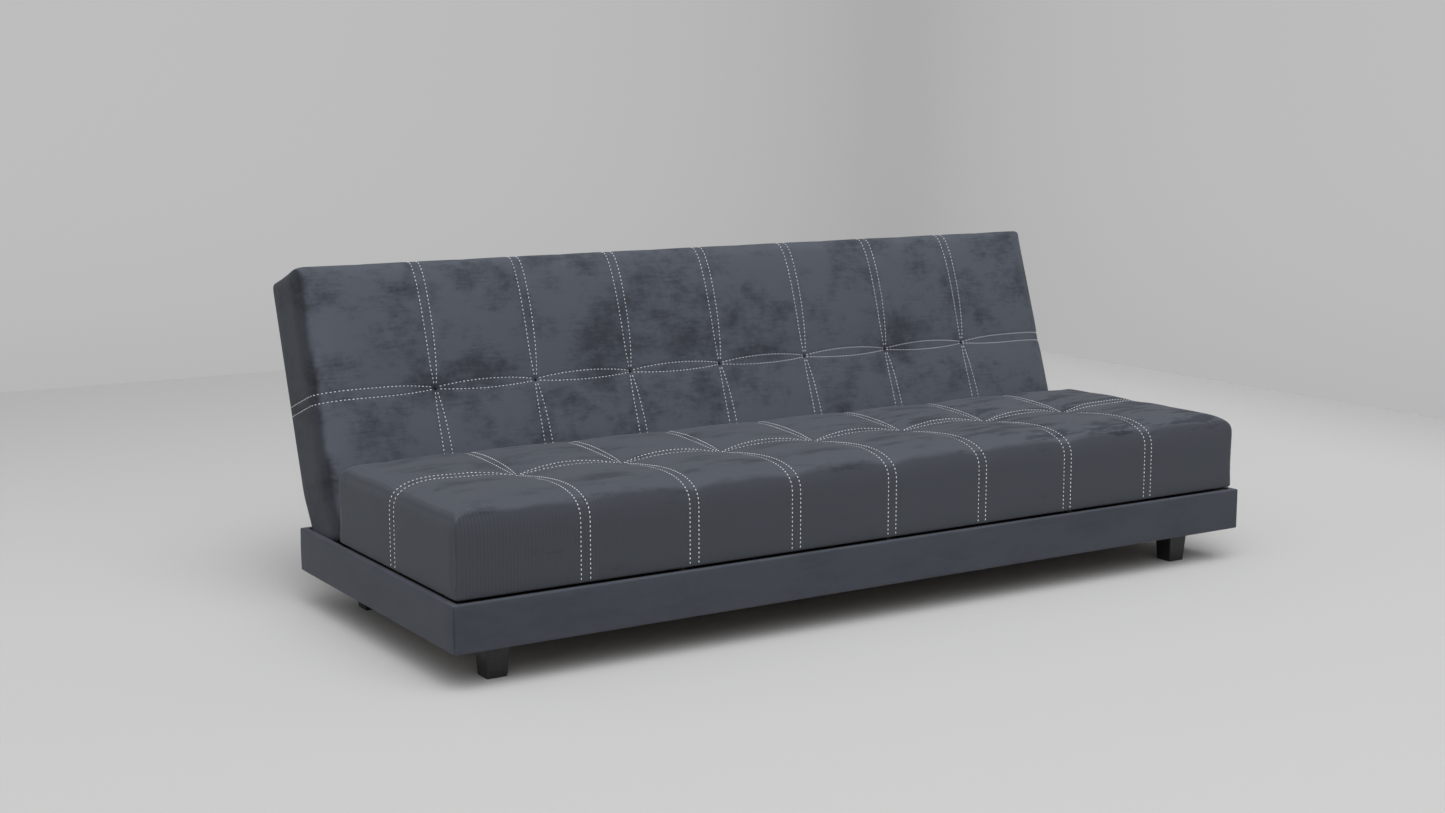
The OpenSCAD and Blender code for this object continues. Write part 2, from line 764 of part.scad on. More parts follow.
// Uprights, and a rail on each side above the mechanism's pocket
module back_cross_rails() {
    low = frame_low + back_rail_w;
    high = frame_high - back_rail_w;
    color(timber) from_front() in_back() union() {
        for (s = sides) {
            translate([s * cross_rail_at - cross_rail_w / 2, back_frame_front + 12, low])
                cube([cross_rail_w, back_rail_h - 12, high - low]);
            translate([s * (bottom_rail_x - cross_rail_w / 2) - cross_rail_w / 2,
                       back_frame_front, low])
                cube([cross_rail_w, back_rail_h, high - low]);
        }
    }
}

back_slat_span = frame_high - frame_low - 2 * (slat_seat + cap_t);
module back_slats() {
    color(beech) from_front() in_back() for (x = slat_places)
        translate([0, back_frame_front, frame_low + slat_seat + cap_t])
            side_form(x - slat_w / 2, slat_w) rotate(90) bowed_slat(back_slat_span);
}

module back_slat_caps() {
    color(rubber) from_front() in_back() for (x = slat_places) union() {
        translate([x, back_frame_front, frame_low + slat_seat]) rotate([90, 0, 0]) slat_cap();
        translate([x, back_frame_front, frame_high - slat_seat]) mirror([0, 0, 1])
            rotate([90, 0, 0]) slat_cap();
    }
}

strap_depth = back_frame_front + back_rail_h / 2;
strap_end = 20;  // last bolt to the strap's end
module at_back_bolts() {
    for (i = [0:2])
        translate([0, strap_depth, spindle_up + back_arm_len - strap_end - i * back_bolt_pitch])
            children();
}

// Back arm: the ratchet sector round the spindle and a cranked strap up the back's end rail
module back_arm(side) {
    w = strap_half;
    top = spindle_up + back_arm_len;
    notch_w = nose_w + 4;
    in_back() difference() {
        end_form(side, back_arm_x, plate_t) union() {
            translate([spindle_depth, spindle_up]) circle(ratchet_r);
            polygon([
                [spindle_depth - w, spindle_up], [spindle_depth + w, spindle_up],
                [spindle_depth + w, spindle_up + crank_low],
                [strap_depth + w, spindle_up + crank_high],
                [strap_depth + w, top], [strap_depth - w, top],
                [strap_depth - w, spindle_up + crank_high + w + 3],
                [spindle_depth - w, spindle_up + crank_low + w]
            ]);
        }
        for (a = [0, lounge_angle, recline_max])
            translate([0, spindle_depth, spindle_up]) rotate([nose_angle + back_tilt + a, 0, 0])
                end_form(side, back_arm_x - 1, plate_t + 2)
                    translate([ratchet_r - notch_depth, -notch_w / 2])
                        square([notch_depth + 2, notch_w]);
        translate([0, spindle_depth, spindle_up])
            end_pin(side, back_arm_x - 1, plate_t + 2, spindle_r + pin_fit);
        at_back_bolts() end_pin(side, back_arm_x - 1, plate_t + 2, arm_bolt_r + bolt_fit);
    }
}

module back_left_arm() { color(black_steel) from_front() back_arm(left); }
module back_right_arm() { color(black_steel) from_front() back_arm(right); }

module back_arm_bolts() {
    color(steel) from_front() in_back() for (s = sides) at_back_bolts() union() {
        end_pin(s, back_arm_x, plate_t + arm_bolt_len - 5, arm_bolt_r);
        end_pin(s, back_arm_x - arm_bolt_head_t, arm_bolt_head_t, arm_bolt_r + 3);
    }
}

// Side outline of the back: heel, two crowned rolls with the cross seam between, and crest
module back_outline() {
    first = back_foot + heel_len;
    last = back_len - crest_len;
    low_r = 8;
    valley = [for (i = [1:11]) let (u = first + (last - first) * i / 12)
        [-back_crown + dip_at(u, back_seam, back_dip, crest_len), u]];
    polygon(concat(
        heel_curve, valley, crest_curve,
        arc(back_t - back_rear_r, back_len - back_rear_r, back_rear_r, 90, 0),
        arc(back_t - low_r, back_foot + low_r, low_r, 0, -90)
    ));
}

module back_cushion() {
    slope_room = 2;
    color(fabric) from_front() in_back() difference() {
        intersection() {
            side_form(-back_half_w, 2 * back_half_w) back_outline();
            translate([0, 0, back_foot - 1]) linear_extrude(back_len + slope_room) mirror([0, 1])
                end_outline(back_half_w, -back_t, back_crown, end_shoulder_w, back_crown + heel_set);
        }
        translate([-back_cavity_x, back_foam_depth, frame_low])
            cube([2 * back_cavity_x, back_t - back_foam_depth + 1, frame_high - frame_low]);
        for (s = sides) end_form(s, pocket_x, pocket_end - pocket_x)
            translate([pocket_depth, back_foot - 1])
                square([back_t - pocket_depth + 1, pocket_high - back_foot + 1]);
    }
}

staple_edge = 6;  // rail left bare round the dust cloth
module back_dust_cloth() {
    slot_high = spindle_up + crank_low + 1.4 * strap_half;
    color(lining) from_front() in_back() difference() {
        translate([-back_cavity_x + staple_edge, back_t - cloth_t, frame_low + staple_edge])
            cube([2 * (back_cavity_x - staple_edge), cloth_t,
                  frame_high - frame_low - 2 * staple_edge]);
        for (s = sides) end_form(s, pocket_x, pocket_end - pocket_x)
            translate([back_t - cloth_t - 1, frame_low - 1])
                square([cloth_t + 2, slot_high - frame_low + 1]);
    }
}

base_front_board();
base_rear_board();
base_left_board();
base_right_board();
base_floor_board();
base_cover();
seat_ledgers();
left_runner();
right_runner();
foot_blocks();
front_left_foot();
front_right_foot();
rear_left_foot();
rear_right_foot();
foot_bolts();
seat_pads();
back_pads();
left_bracket();
right_bracket();
bracket_screws();
left_spindle();
right_spindle();
spindle_washers();
pawl_pins();
left_pawl();
right_pawl();
seat_left_rail();
seat_right_rail();
seat_front_rail();
seat_rear_rail();
seat_cross_rails();
seat_slats();
seat_slat_caps();
seat_left_arm();
seat_right_arm();
seat_arm_bolts();
seat_cushion();
seat_dust_cloth();
back_left_rail();
back_right_rail();
back_top_rail();
back_bottom_rail();
back_cross_rails();
back_slats();
back_slat_caps();
back_left_arm();
back_right_arm();
back_arm_bolts();
back_cushion();
back_dust_cloth();
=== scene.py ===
import math
import random

import bmesh
import bpy
import numpy as np
from mathutils import Matrix, Vector
from mathutils.bvhtree import BVHTree


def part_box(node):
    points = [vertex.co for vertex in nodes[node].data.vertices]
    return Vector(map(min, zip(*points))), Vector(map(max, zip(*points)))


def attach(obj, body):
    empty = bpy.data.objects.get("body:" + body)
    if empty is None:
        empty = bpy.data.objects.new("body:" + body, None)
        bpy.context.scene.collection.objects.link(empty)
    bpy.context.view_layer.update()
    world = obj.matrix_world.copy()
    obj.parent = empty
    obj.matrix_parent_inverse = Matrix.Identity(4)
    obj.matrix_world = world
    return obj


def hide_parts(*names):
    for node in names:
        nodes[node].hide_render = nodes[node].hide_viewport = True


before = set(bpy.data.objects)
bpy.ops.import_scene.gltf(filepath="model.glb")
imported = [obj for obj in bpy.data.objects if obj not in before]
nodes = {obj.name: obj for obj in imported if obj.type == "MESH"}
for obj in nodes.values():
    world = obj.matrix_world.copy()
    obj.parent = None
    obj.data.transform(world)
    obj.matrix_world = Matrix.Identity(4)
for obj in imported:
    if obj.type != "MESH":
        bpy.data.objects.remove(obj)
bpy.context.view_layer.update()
MM = 0.001

# ---- Timber of the box and of the two frames ----
# Planed pine boards and rails, glued and stapled. They are left unfinished, but what shows as
# a line under the seat or round the back is coloured near black, painted shade for those gaps.
# Growth rings run along each piece.


def linear(code):
    """An sRGB hex colour as a linear RGBA value."""
    parts = [int(code[i : i + 2], 16) / 255 for i in (1, 3, 5)]
    return [c / 12.92 if c < 0.04045 else ((c + 0.055) / 1.055) ** 2.4 for c in parts] + [1.0]


def add(tree, kind, sockets=None, **settings):
    """Adds a shader node with its settings; a socket's value may be another node's output."""
    made = tree.nodes.new("ShaderNode" + kind)
    for key, value in settings.items():
        setattr(made, key, value)
    for key, value in (sockets or {}).items():
        if isinstance(value, bpy.types.NodeSocket):
            tree.links.new(value, made.inputs[key])
        else:
            made.inputs[key].default_value = value
    return made


def finish_named(name, **shader_values):
    """A new material, its node tree and its shader with the given constants."""
    made = bpy.data.materials.new(name)
    made.use_nodes = True
    shader = made.node_tree.nodes["Principled BSDF"]
    for key, value in shader_values.items():
        shader.inputs[key.replace("_", " ")].default_value = value
    return made, made.node_tree, shader


def place(tree, cells_mm):
    """Coordinates of the piece itself, counted in cells of the given sizes in millimetres."""
    where = add(tree, "TexCoord").outputs["Object"]
    per_metre = [1 / (size * MM) for size in cells_mm]
    return add(tree, "Mapping", {"Vector": where, "Scale": per_metre}).outputs[0]


def between(tree, share, low, high, colours, ease_in="SMOOTHSTEP"):
    """Blends two colours as share goes from low to high."""
    span = {"Value": share, "From Min": low, "From Max": high}
    step = add(tree, "MapRange", span, interpolation_type=ease_in)
    first, second = (linear(c) if isinstance(c, str) else c for c in colours)
    mixed = add(tree, "Mix", {0: step.outputs[0], 6: first, 7: second}, data_type="RGBA")
    return mixed.outputs[2]


def relief(tree, shader, height, distance, strength=1.0):
    """Bumps the surface by height times distance, in metres."""
    bump = add(tree, "Bump", {"Height": height, "Distance": distance, "Strength": strength})
    tree.links.new(bump.outputs[0], shader.inputs["Normal"])


def planed_timber(name, pale, dark, grain_mm, grain_axis, roughness):
    """Growth rings drawn out along the grain, and pores; both are drawn coarse, so as to show."""
    made, tree, shader = finish_named(name, Roughness=roughness, IOR=1.5)
    cells = [grain_mm] * 3
    cells[grain_axis] /= 0.03
    where = place(tree, cells)
    rings = add(tree, "TexNoise", {"Vector": where, "Scale": 0.35, "Detail": 3.0})
    pores = add(tree, "TexNoise", {"Vector": where, "Scale": 2.5, "Detail": 2.0})
    wood = between(tree, rings.outputs[0], 0.4, 0.62, (pale, dark))
    fine = between(tree, pores.outputs[0], 0.55, 0.75, (wood, linear(dark)))
    tree.links.new(fine, shader.inputs["Base Color"])
    relief(tree, shader, pores.outputs[0], 0.15 * MM, 0.5)
    return made


def dress(material, *names):
    """Gives carried-over parts their finish."""
    for n in names:
        nodes[n].data.materials.clear()
        nodes[n].data.materials.append(material)


def ease(width_mm, *names):
    """Breaks the sharp arrises of carried-over parts by a small bevel."""
    for n in names:
        bevel = nodes[n].modifiers.new("arris", "BEVEL")
        bevel.width = width_mm * MM
        bevel.segments = 2
        bevel.limit_method = "ANGLE"
        bevel.angle_limit = math.radians(50)


PINE = ("#d9b98a", "#b98f5c", 5)
pine_along = planed_timber("planed pine, long boards", *PINE, 0, 0.6)
pine_across = planed_timber("planed pine, end boards", *PINE, 1, 0.6)
pine_upright = planed_timber("planed pine, uprights", *PINE, 2, 0.6)
dress(pine_along, "base_front_board", "seat_front_rail", "seat_rear_rail", "foot_blocks")
dress(pine_across, "base_left_board", "base_right_board")
dress(pine_across, "seat_left_rail", "seat_right_rail", "seat_cross_rails")
dress(pine_upright, "back_cross_rails")
# Painted shade: these pieces show only in the dark gaps, so they are coloured near black
GAP_SHADE_BLACK = ("#1c1b1b", "#121212", 5)
gap_shade_along = planed_timber("pine blackened as painted gap shade, long", *GAP_SHADE_BLACK, 0, 0.75)
gap_shade_across = planed_timber("pine blackened as painted gap shade, ends", *GAP_SHADE_BLACK, 1, 0.75)
gap_shade_upright = planed_timber("pine blackened as painted gap shade, upright", *GAP_SHADE_BLACK, 2, 0.75)
dress(gap_shade_along, "base_rear_board", "seat_ledgers", "back_top_rail", "back_bottom_rail")
dress(gap_shade_across, "left_runner", "right_runner")
dress(gap_shade_upright, "back_left_rail", "back_right_rail")

# ---- Floor of the bedding box ----
# One sheet of 4 mm hardboard, pressed wood fibre, laid in under the runners.
# It is smooth and brown with a faint fibre mottle.


def speckled(name, cells_mm, detail, low, high, tones, depth_mm, strength, **shader_values):
    """A finish of two close tones that follow fine specks, which roughen the surface too."""
    made, tree, shader = finish_named(name, **shader_values)
    where = place(tree, cells_mm)
    specks = add(tree, "TexNoise", {"Vector": where, "Scale": 1.0, "Detail": detail})
    tone = between(tree, specks.outputs[0], low, high, tones)
    tree.links.new(tone, shader.inputs["Base Color"])
    relief(tree, shader, specks.outputs[0], depth_mm * MM, strength)
    return made


hardboard = speckled(
    "pressed hardboard", [2.5, 16.7, 2.5], 4.0, 0.35, 0.65, ("#5d4b3b", "#4a3c30"), 0.1, 0.4,
    Roughness=0.55, IOR=1.5,
)
dress(hardboard, "base_floor_board")

# ---- Feet ----
# Blocks of solid beech, sawn to a taper and sprayed with black satin lacquer.
# The lacquer gives soft highlights along its eased edges, with a trace of grain under it.

lacquer, tree, shader = finish_named("black satin lacquer", Roughness=0.38, IOR=1.5)
grain_at, scuffs_at = place(tree, [1.11, 1.11, 25]), place(tree, [11.1] * 3)
grain = add(tree, "TexNoise", {"Vector": grain_at, "Scale": 1.0, "Detail": 3.0})
scuffs = add(tree, "TexNoise", {"Vector": scuffs_at, "Scale": 1.0, "Detail": 5.0})
tone = between(tree, scuffs.outputs[0], 0.45, 0.8, ("#1b1b1d", "#2b2b2e"))
tree.links.new(tone, shader.inputs["Base Color"])
relief(tree, shader, grain.outputs[0], 0.08 * MM, 0.5)
FEET = ("front_left_foot", "front_right_foot", "rear_left_foot", "rear_right_foot")
dress(lacquer, *FEET)
ease(1.2, *FEET)

# ---- Fold mechanism and fixings ----
# Zinc-plated pressed steel for brackets, spindles, bolts and screws: a cool, slightly cloudy
# metal. Arms and pawls are powder-coated black, a fine orange-peel skin without shine.

zinc = speckled(
    "zinc-plated steel", [6.67] * 3, 4.0, 0.3, 0.7, ("#b9bcc0", "#9da1a6"), 0.05, 0.5,
    Metallic=1.0, Roughness=0.36,
)
# The orange peel is drawn coarser than its real half millimetre
powder = speckled(
    "black powder coat on steel", [0.833] * 3, 2.0, 0.35, 0.75, ("#1c1d1f", "#2a2b2e"), 0.12, 0.6,
    Roughness=0.5, IOR=1.5,
)
dress(
    zinc,
    *("foot_bolts", "left_bracket", "right_bracket", "bracket_screws", "left_spindle"),
    *("right_spindle", "pawl_pins", "seat_arm_bolts", "back_arm_bolts"),
)
STEEL_ARMS = ("seat_left_arm", "seat_right_arm", "back_left_arm", "back_right_arm")
dress(powder, *STEEL_ARMS, "left_pawl", "right_pawl")
ease(0.5, *STEEL_ARMS, "left_pawl", "right_pawl", "left_bracket", "right_bracket")

# ---- Slats, caps, washers and pads ----
# Steam-bent beech slats with a pale even grain, held in moulded polypropylene caps;
# black rubber pads take the seat's and the folded back's weight.

BEECH = ("#d8b48c", "#c39a6e", 2.5)
dress(planed_timber("bent beech", *BEECH, 1, 0.42), "seat_slats")
dress(planed_timber("bent beech, upright", *BEECH, 2, 0.42), "back_slats")
ease(1.0, "seat_slats", "back_slats")
moulded = speckled(
    "moulded polypropylene", [0.667] * 3, 2.0, 0.3, 0.7, ("#2b2c2e", "#343538"), 0.06, 0.5,
    Roughness=0.45, IOR=1.49,
)
dress(moulded, "seat_slat_caps", "back_slat_caps", "spindle_washers")
rubber = speckled(
    "vulcanised rubber", [5] * 3, 3.0, 0.4, 0.7, ("#1d1d1d", "#272727"), 0.1, 0.5,
    Roughness=0.8, IOR=1.52,
)
dress(rubber, "seat_pads", "back_pads")

# ---- Dust cloths ----
# Black spun-bonded polypropylene stapled under the seat and behind the back. It is thin and
# matt, and shows the even dimples where its fibres were pressed together, drawn 3 mm wide.

spunbond, tree, shader = finish_named("spun-bonded lining", Roughness=0.85, IOR=1.49)
pressed_at = place(tree, [3.03] * 3)
dimples = add(tree, "TexVoronoi", {"Vector": pressed_at, "Scale": 1.0}, feature="F1")
tone = between(tree, dimples.outputs[0], 0.15, 0.6, ("#141517", "#232427"))
tree.links.new(tone, shader.inputs["Base Color"])
relief(tree, shader, dimples.outputs[0], 0.25 * MM, 0.7)
dress(spunbond, "seat_dust_cloth", "back_dust_cloth")

# ---- Cover of the box ----
# Slate blue-grey polyester velvet with a short dense pile, drawn tight over the boards, turned
# over the top edge and stapled under the bottom. Brushed areas turn darker in soft clouds, and
# the cloth pulls faintly between its staples.

RIB_PITCH = 7.48 * MM  # drawn wider than real, so as to show


def pile_velvet(
    name, lying, brushed, clouds_mm, streaks_mm, spread, ends, front,
    ribs=0.0, streak_gain=0.0, calm=0.0,
):
    """Short-pile velvet: two tones of one colour, where the pile lies down and where brushed.

    End and front faces are darkened by the shares ends and front: painted shade for the light
    they miss, which also stands for the pile pointing down there. Of the last three shares,
    ribs is how much the backing shows towards the left end, the next how much stronger the
    streaks get towards the right end, and calm keeps upright faces less brushed.
    """
    made, tree, shader = finish_named(
        name, Roughness=0.82, IOR=1.45, Specular_IOR_Level=0.25,
        Sheen_Weight=0.18, Sheen_Roughness=0.45, Sheen_Tint=linear("#c9cfd8"),
    )
    clouds, streaks = (
        add(
            tree,
            "TexNoise",
            {"Vector": place(tree, cells), "Scale": 1.0, "Detail": detail, "Roughness": 0.7},
        ).outputs[0]
        for cells, detail in ((clouds_mm, 6.0), (streaks_mm, 3.0))
    )
    drift = add(tree, "MapRange", {"Value": streaks, "To Min": -0.12, "To Max": 0.12}).outputs[0]
    spot = add(tree, "TexCoord").outputs["Object"]
    along = add(tree, "SeparateXYZ", {0: spot}).outputs[0]
    facing = add(tree, "SeparateXYZ", {0: add(tree, "NewGeometry").outputs["Normal"]}).outputs
    ahead = add(tree, "Math", {0: 0.0, 1: facing[1]}, operation="SUBTRACT").outputs[0]
    aside = add(tree, "Math", {0: facing[0]}, operation="ABSOLUTE").outputs[0]
    upright = add(tree, "Math", {0: ahead, 1: aside}, operation="MAXIMUM").outputs[0]
    # Faces that look up are streaked more towards the right end, upright ones hardly at all
    rightward = add(
        tree, "MapRange", {"Value": along, "From Min": 0.0, "From Max": 0.7, "To Max": streak_gain}
    ).outputs[0]
    stronger = add(
        tree, "Math", {0: rightward, 1: facing[2], 2: 1.0}, operation="MULTIPLY_ADD"
    ).outputs[0]
    share = add(
        tree, "Math", {0: drift, 1: stronger, 2: clouds}, operation="MULTIPLY_ADD"
    ).outputs[0]
    share = add(
        tree, "Math", {0: upright, 1: -calm, 2: share}, operation="MULTIPLY_ADD"
    ).outputs[0]
    nap = between(tree, share, *spread, (lying, brushed))
    # Ribs of the knitted backing, faint and only towards the left end. A wave of scale 1 has
    # 20 radians to the metre.
    knit = add(
        tree,
        "TexWave",
        {"Vector": spot, "Scale": math.tau / (20 * RIB_PITCH), "Distortion": 1.2, "Detail": 2.0},
        bands_direction="X",
    ).outputs["Fac"]
    leftward = add(
        tree, "MapRange", {"Value": along, "From Min": 0.1, "From Max": -0.9, "To Max": ribs}
    ).outputs[0]
    ribs_and_face_shade = add(tree, "Math", {0: knit, 1: leftward}, operation="MULTIPLY").outputs[0]
    # Painted shade: end and front faces lose up to ends and front of their tone, with a ragged edge
    # drawn from the clouds
    for turned, most in ((aside, ends), (ahead, front)):
        ragged = add(tree, "Math", {0: clouds, 1: 0.5, 2: turned}, operation="MULTIPLY_ADD")
        painted_face_shade = add(
            tree,
            "MapRange",
            {"Value": ragged.outputs[0], "From Min": 0.75, "From Max": 1.05, "To Max": most},
            interpolation_type="SMOOTHSTEP",
        )
        ribs_and_face_shade = add(tree, "Math", {0: ribs_and_face_shade, 1: painted_face_shade.outputs[0]}, operation="ADD").outputs[0]
    kept = add(tree, "Math", {0: 1.0, 1: ribs_and_face_shade}, operation="SUBTRACT").outputs[0]
    shaded = add(tree, "VectorMath", {0: nap, "Scale": kept}, operation="SCALE")
    tree.links.new(shaded.outputs[0], shader.inputs["Base Color"])
    # Tufts of the pile, drawn coarse so as to show
    pile = add(tree, "TexNoise", {"Vector": place(tree, [1.43] * 3), "Scale": 1.0, "Detail": 2.0})
    relief(tree, shader, pile.outputs[0], 0.35 * MM, 0.35)
    return made


# Its ends and front shares paint shade on the box's end and front faces
box_velvet = pile_velvet(
    "velvet, box", "#4e525b", "#484c55", [167, 167, 71.4], [40, 40, 7.14], (0.42, 0.66),
    ends=0.32, front=0.34,
)


def swept_wrap(section, half_w, front, rear, corner_r):
    """Sweeps a closed section, given as (inset, height), round a rectangle with round corners."""
    turns, step = 5, 40 * MM
    corners = [(half_w, rear, 0), (-half_w, rear, 90), (-half_w, front, 180), (half_w, front, 270)]
    points = []
    for inset, height in section:
        r = max(corner_r - inset, 0.0)
        middles = [
            (x - math.copysign(inset + r, x), y - (inset + r if y == rear else -inset - r))
            for x, y, _ in corners
        ]
        for index, (x, y, start) in enumerate(corners):
            for i in range(turns + 1):
                a = math.radians(start + 90 * i / turns)
                out = (r * math.cos(a), r * math.sin(a))
                points.append((middles[index][0] + out[0], middles[index][1] + out[1], height))
            following = (index + 1) % 4
            here = points[-1]
            there = (middles[following][0] + out[0], middles[following][1] + out[1])
            # The same count in every ring, so that each point has its like in the next ring
            count = round(math.dist((x, y), corners[following][:2]) / step)
            for i in range(1, count):
                run = [a + (b - a) * i / count for a, b in zip(here, there)]
                points.append((*run, height))
    around = len(points) // len(section)
    faces = []
    for j in range(len(section)):
        k = (j + 1) % len(section)
        for i in range(around):
            n = (i + 1) % around
            faces.append((j * around + i, j * around + n, k * around + n, k * around + i))
    return points, faces


def shown(name, data):
    """A new object in the scene."""
    made = bpy.data.objects.new(name, data)
    bpy.context.scene.collection.objects.link(made)
    return made


def piece(name, points, faces, body, material):
    """A smooth upholstery mesh that rides on a body."""
    mesh = bpy.data.meshes.new(name)
    mesh.from_pydata([tuple(p) for p in points], [], faces)
    made = shown(name, mesh)
    tidy_normals(made)
    mesh.materials.append(material)
    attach(made, body)
    return made


def tidy_normals(obj, angle=42):
    """Turns every face outwards and keeps only true edges sharp."""
    work = bmesh.new()
    work.from_mesh(obj.data)
    bmesh.ops.recalc_face_normals(work, faces=work.faces)
    work.to_mesh(obj.data)
    work.free()
    obj.data.shade_smooth()
    obj.data.set_sharp_from_angle(angle=math.radians(angle))


BOX_LOW, BOX_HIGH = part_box("base_cover")
CLOTH = 2 * MM
CLOTH_IN = 0.9 * CLOTH
EDGE_R = 3 * MM
BOX_CORNER_R = 4 * MM
END_INNER = BOX_HIGH.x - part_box("base_right_board")[0].x
HEM = END_INNER + 25 * MM


def box_section():
    """Cover's cross-section from the inner top edge, over the board and under to the hem."""
    low, high = BOX_LOW.z, BOX_HIGH.z
    outer = [(END_INNER, high - 0.4 * CLOTH), (END_INNER, high)]
    for i in range(5):
        a = math.radians(90 - 90 * i / 4)
        outer.append((EDGE_R - EDGE_R * math.cos(a), high - EDGE_R + EDGE_R * math.sin(a)))
    for i in range(1, 8):
        outer.append((0.0, high - EDGE_R - (high - low - 2 * EDGE_R) * i / 8))
    for i in range(5):
        a = math.radians(90 * i / 4)
        outer.append((EDGE_R - EDGE_R * math.cos(a), low + EDGE_R - EDGE_R * math.sin(a)))
    outer += [(HEM, low), (HEM, low + CLOTH_IN)]
    return outer + [(CLOTH, low + CLOTH_IN), (CLOTH, high - CLOTH_IN), (END_INNER, high - CLOTH_IN)]


points, faces = swept_wrap(box_section(), BOX_HIGH.x, BOX_LOW.y, BOX_HIGH.y, BOX_CORNER_R)
random.seed(7)
pulls = [(random.uniform(-1, 1), random.uniform(9, 17), random.uniform(0, 6.3)) for _ in range(6)]
STAND_OFF, PULL = 0.5 * MM, 0.9 * MM
pulled = []
for x, y, z in points:
    on_face = BOX_LOW.z + EDGE_R < z < BOX_HIGH.z - 2 * EDGE_R
    wave = sum(most * math.sin(pace * (x + y) + start) for most, pace, start in pulls) / len(pulls)
    share = math.sin(math.pi * (z - BOX_LOW.z) / (BOX_HIGH.z - BOX_LOW.z)) if on_face else 0
    push = (STAND_OFF + PULL * wave) * share
    nx = math.copysign(1, x) if abs(x) > BOX_HIGH.x - 0.5 * MM else 0
    ny = -1 if y < BOX_LOW.y + 0.5 * MM else (1 if y > BOX_HIGH.y - 0.5 * MM else 0)
    pulled.append((x + nx * push, y + ny * push, z))
box_cover = piece("box_cover", pulled, faces, "base", box_velvet)
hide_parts("base_cover")

# ---- Cushion skins ----
# Seat and back are one make: velvet sewn over wadding and foam, drawn down along seven short
# seams and one long seam across them, and tied at each crossing so that the panels puff up.

SEAM_PITCH = 0.24
SEAMS = [i * SEAM_PITCH for i in range(-3, 4)]
ROW_HALF = 10 * MM
POWER = 2.5


def nearest_seam(x):
    """Distance from the nearest short seam."""
    return np.min(np.abs(np.subtract.outer(x, SEAMS)), axis=-1)


class Cushion:
    """Sizes of one cushion in metres: x runs along it, t across it and height out of its face.

    Each end has the width of its shoulder, how far it drops and how square it is between seams.
    Within hollow of the cross seam the cover is sunk, by dip at the ties and arch less between
    them, where its high side is raised by twice lean. Fall lowers the high end and droop the
    outer ends. Corner is how tight the corners are in plan, bulge how far the ends swell out
    above the low end and cross_half the most that a row of the cross seam stands off its middle.
    """

    def __init__(self, **sizes):
        self.__dict__.update(sizes)


def stations(cushion):
    """Grid lines across and along the plan, close together at seams and shoulders."""
    near = [3 * MM, 6 * MM, 10 * MM, 14 * MM, 20 * MM]
    clear = near[-1]
    curve = [math.sin(math.pi / 2 * i / 13) ** (2 / POWER) for i in range(1, 14)]
    xs = {s + k * d for s in SEAMS for d in (0, *near) for k in (-1, 1)}
    for s in SEAMS[:-1]:
        xs |= {s + clear + (SEAM_PITCH - 2 * clear) * i / 14 for i in range(1, 14)}
    flat_end, first = cushion.half_w - cushion.side[0], SEAMS[-1] + clear
    for k in (-1, 1):
        xs |= {k * (first + (flat_end - first) * i / 9) for i in range(1, 10)}
        xs |= {k * (flat_end + cushion.side[0] * c) for c in curve}
    ts = {cushion.seam + k * d for d in (0, *near) for k in (-1, 1)}
    low, high = cushion.low_end[0], cushion.length - cushion.high_end[0]
    ts |= {low + (cushion.seam - clear - low) * i / 9 for i in range(9)}
    ts |= {high - (high - cushion.seam - clear) * i / 9 for i in range(9)}
    ts |= {low * (1 - c) for c in curve} | {high + cushion.high_end[0] * c for c in curve}
    return [np.array(sorted({round(v, 6) for v in lines})) for lines in (xs, ts)]


def crown(cushion, x, t):
    """Height of the puffed panels above the cushion's edge height, before the shoulders."""
    half_panel = SEAM_PITCH / 2
    d = nearest_seam(x)
    rise = cushion.puff * (1 - (1 - np.clip(d / half_panel, 0, 1)) ** 1.7)
    across = np.clip(1 - np.abs(t - cushion.seam) / cushion.hollow, 0, 1) ** 1.5
    arch = np.sin(np.pi * np.clip(d / SEAM_PITCH, 0, 0.5)) ** 0.8
    past_seams = np.abs(x) - SEAMS[-1]
    past_tie = np.clip((past_seams - half_panel) / 0.1, 0, 1)
    rearward = np.clip((t - cushion.seam) / (cushion.length - cushion.seam), 0, 1)
    sunk = (cushion.dip - cushion.arch * arch) * (1 - past_tie)
    droop = cushion.droop * np.clip((past_seams - half_panel / 2) / 0.2, 0, 1) ** 1.5
    rise = rise * (1 - 0.7 * rearward**2) - droop
    lean = cushion.lean * arch * across * (1 + np.tanh((t - cushion.seam) / (12 * MM)))
    return rise * (1 - across) - sunk * across - cushion.fall * rearward + lean


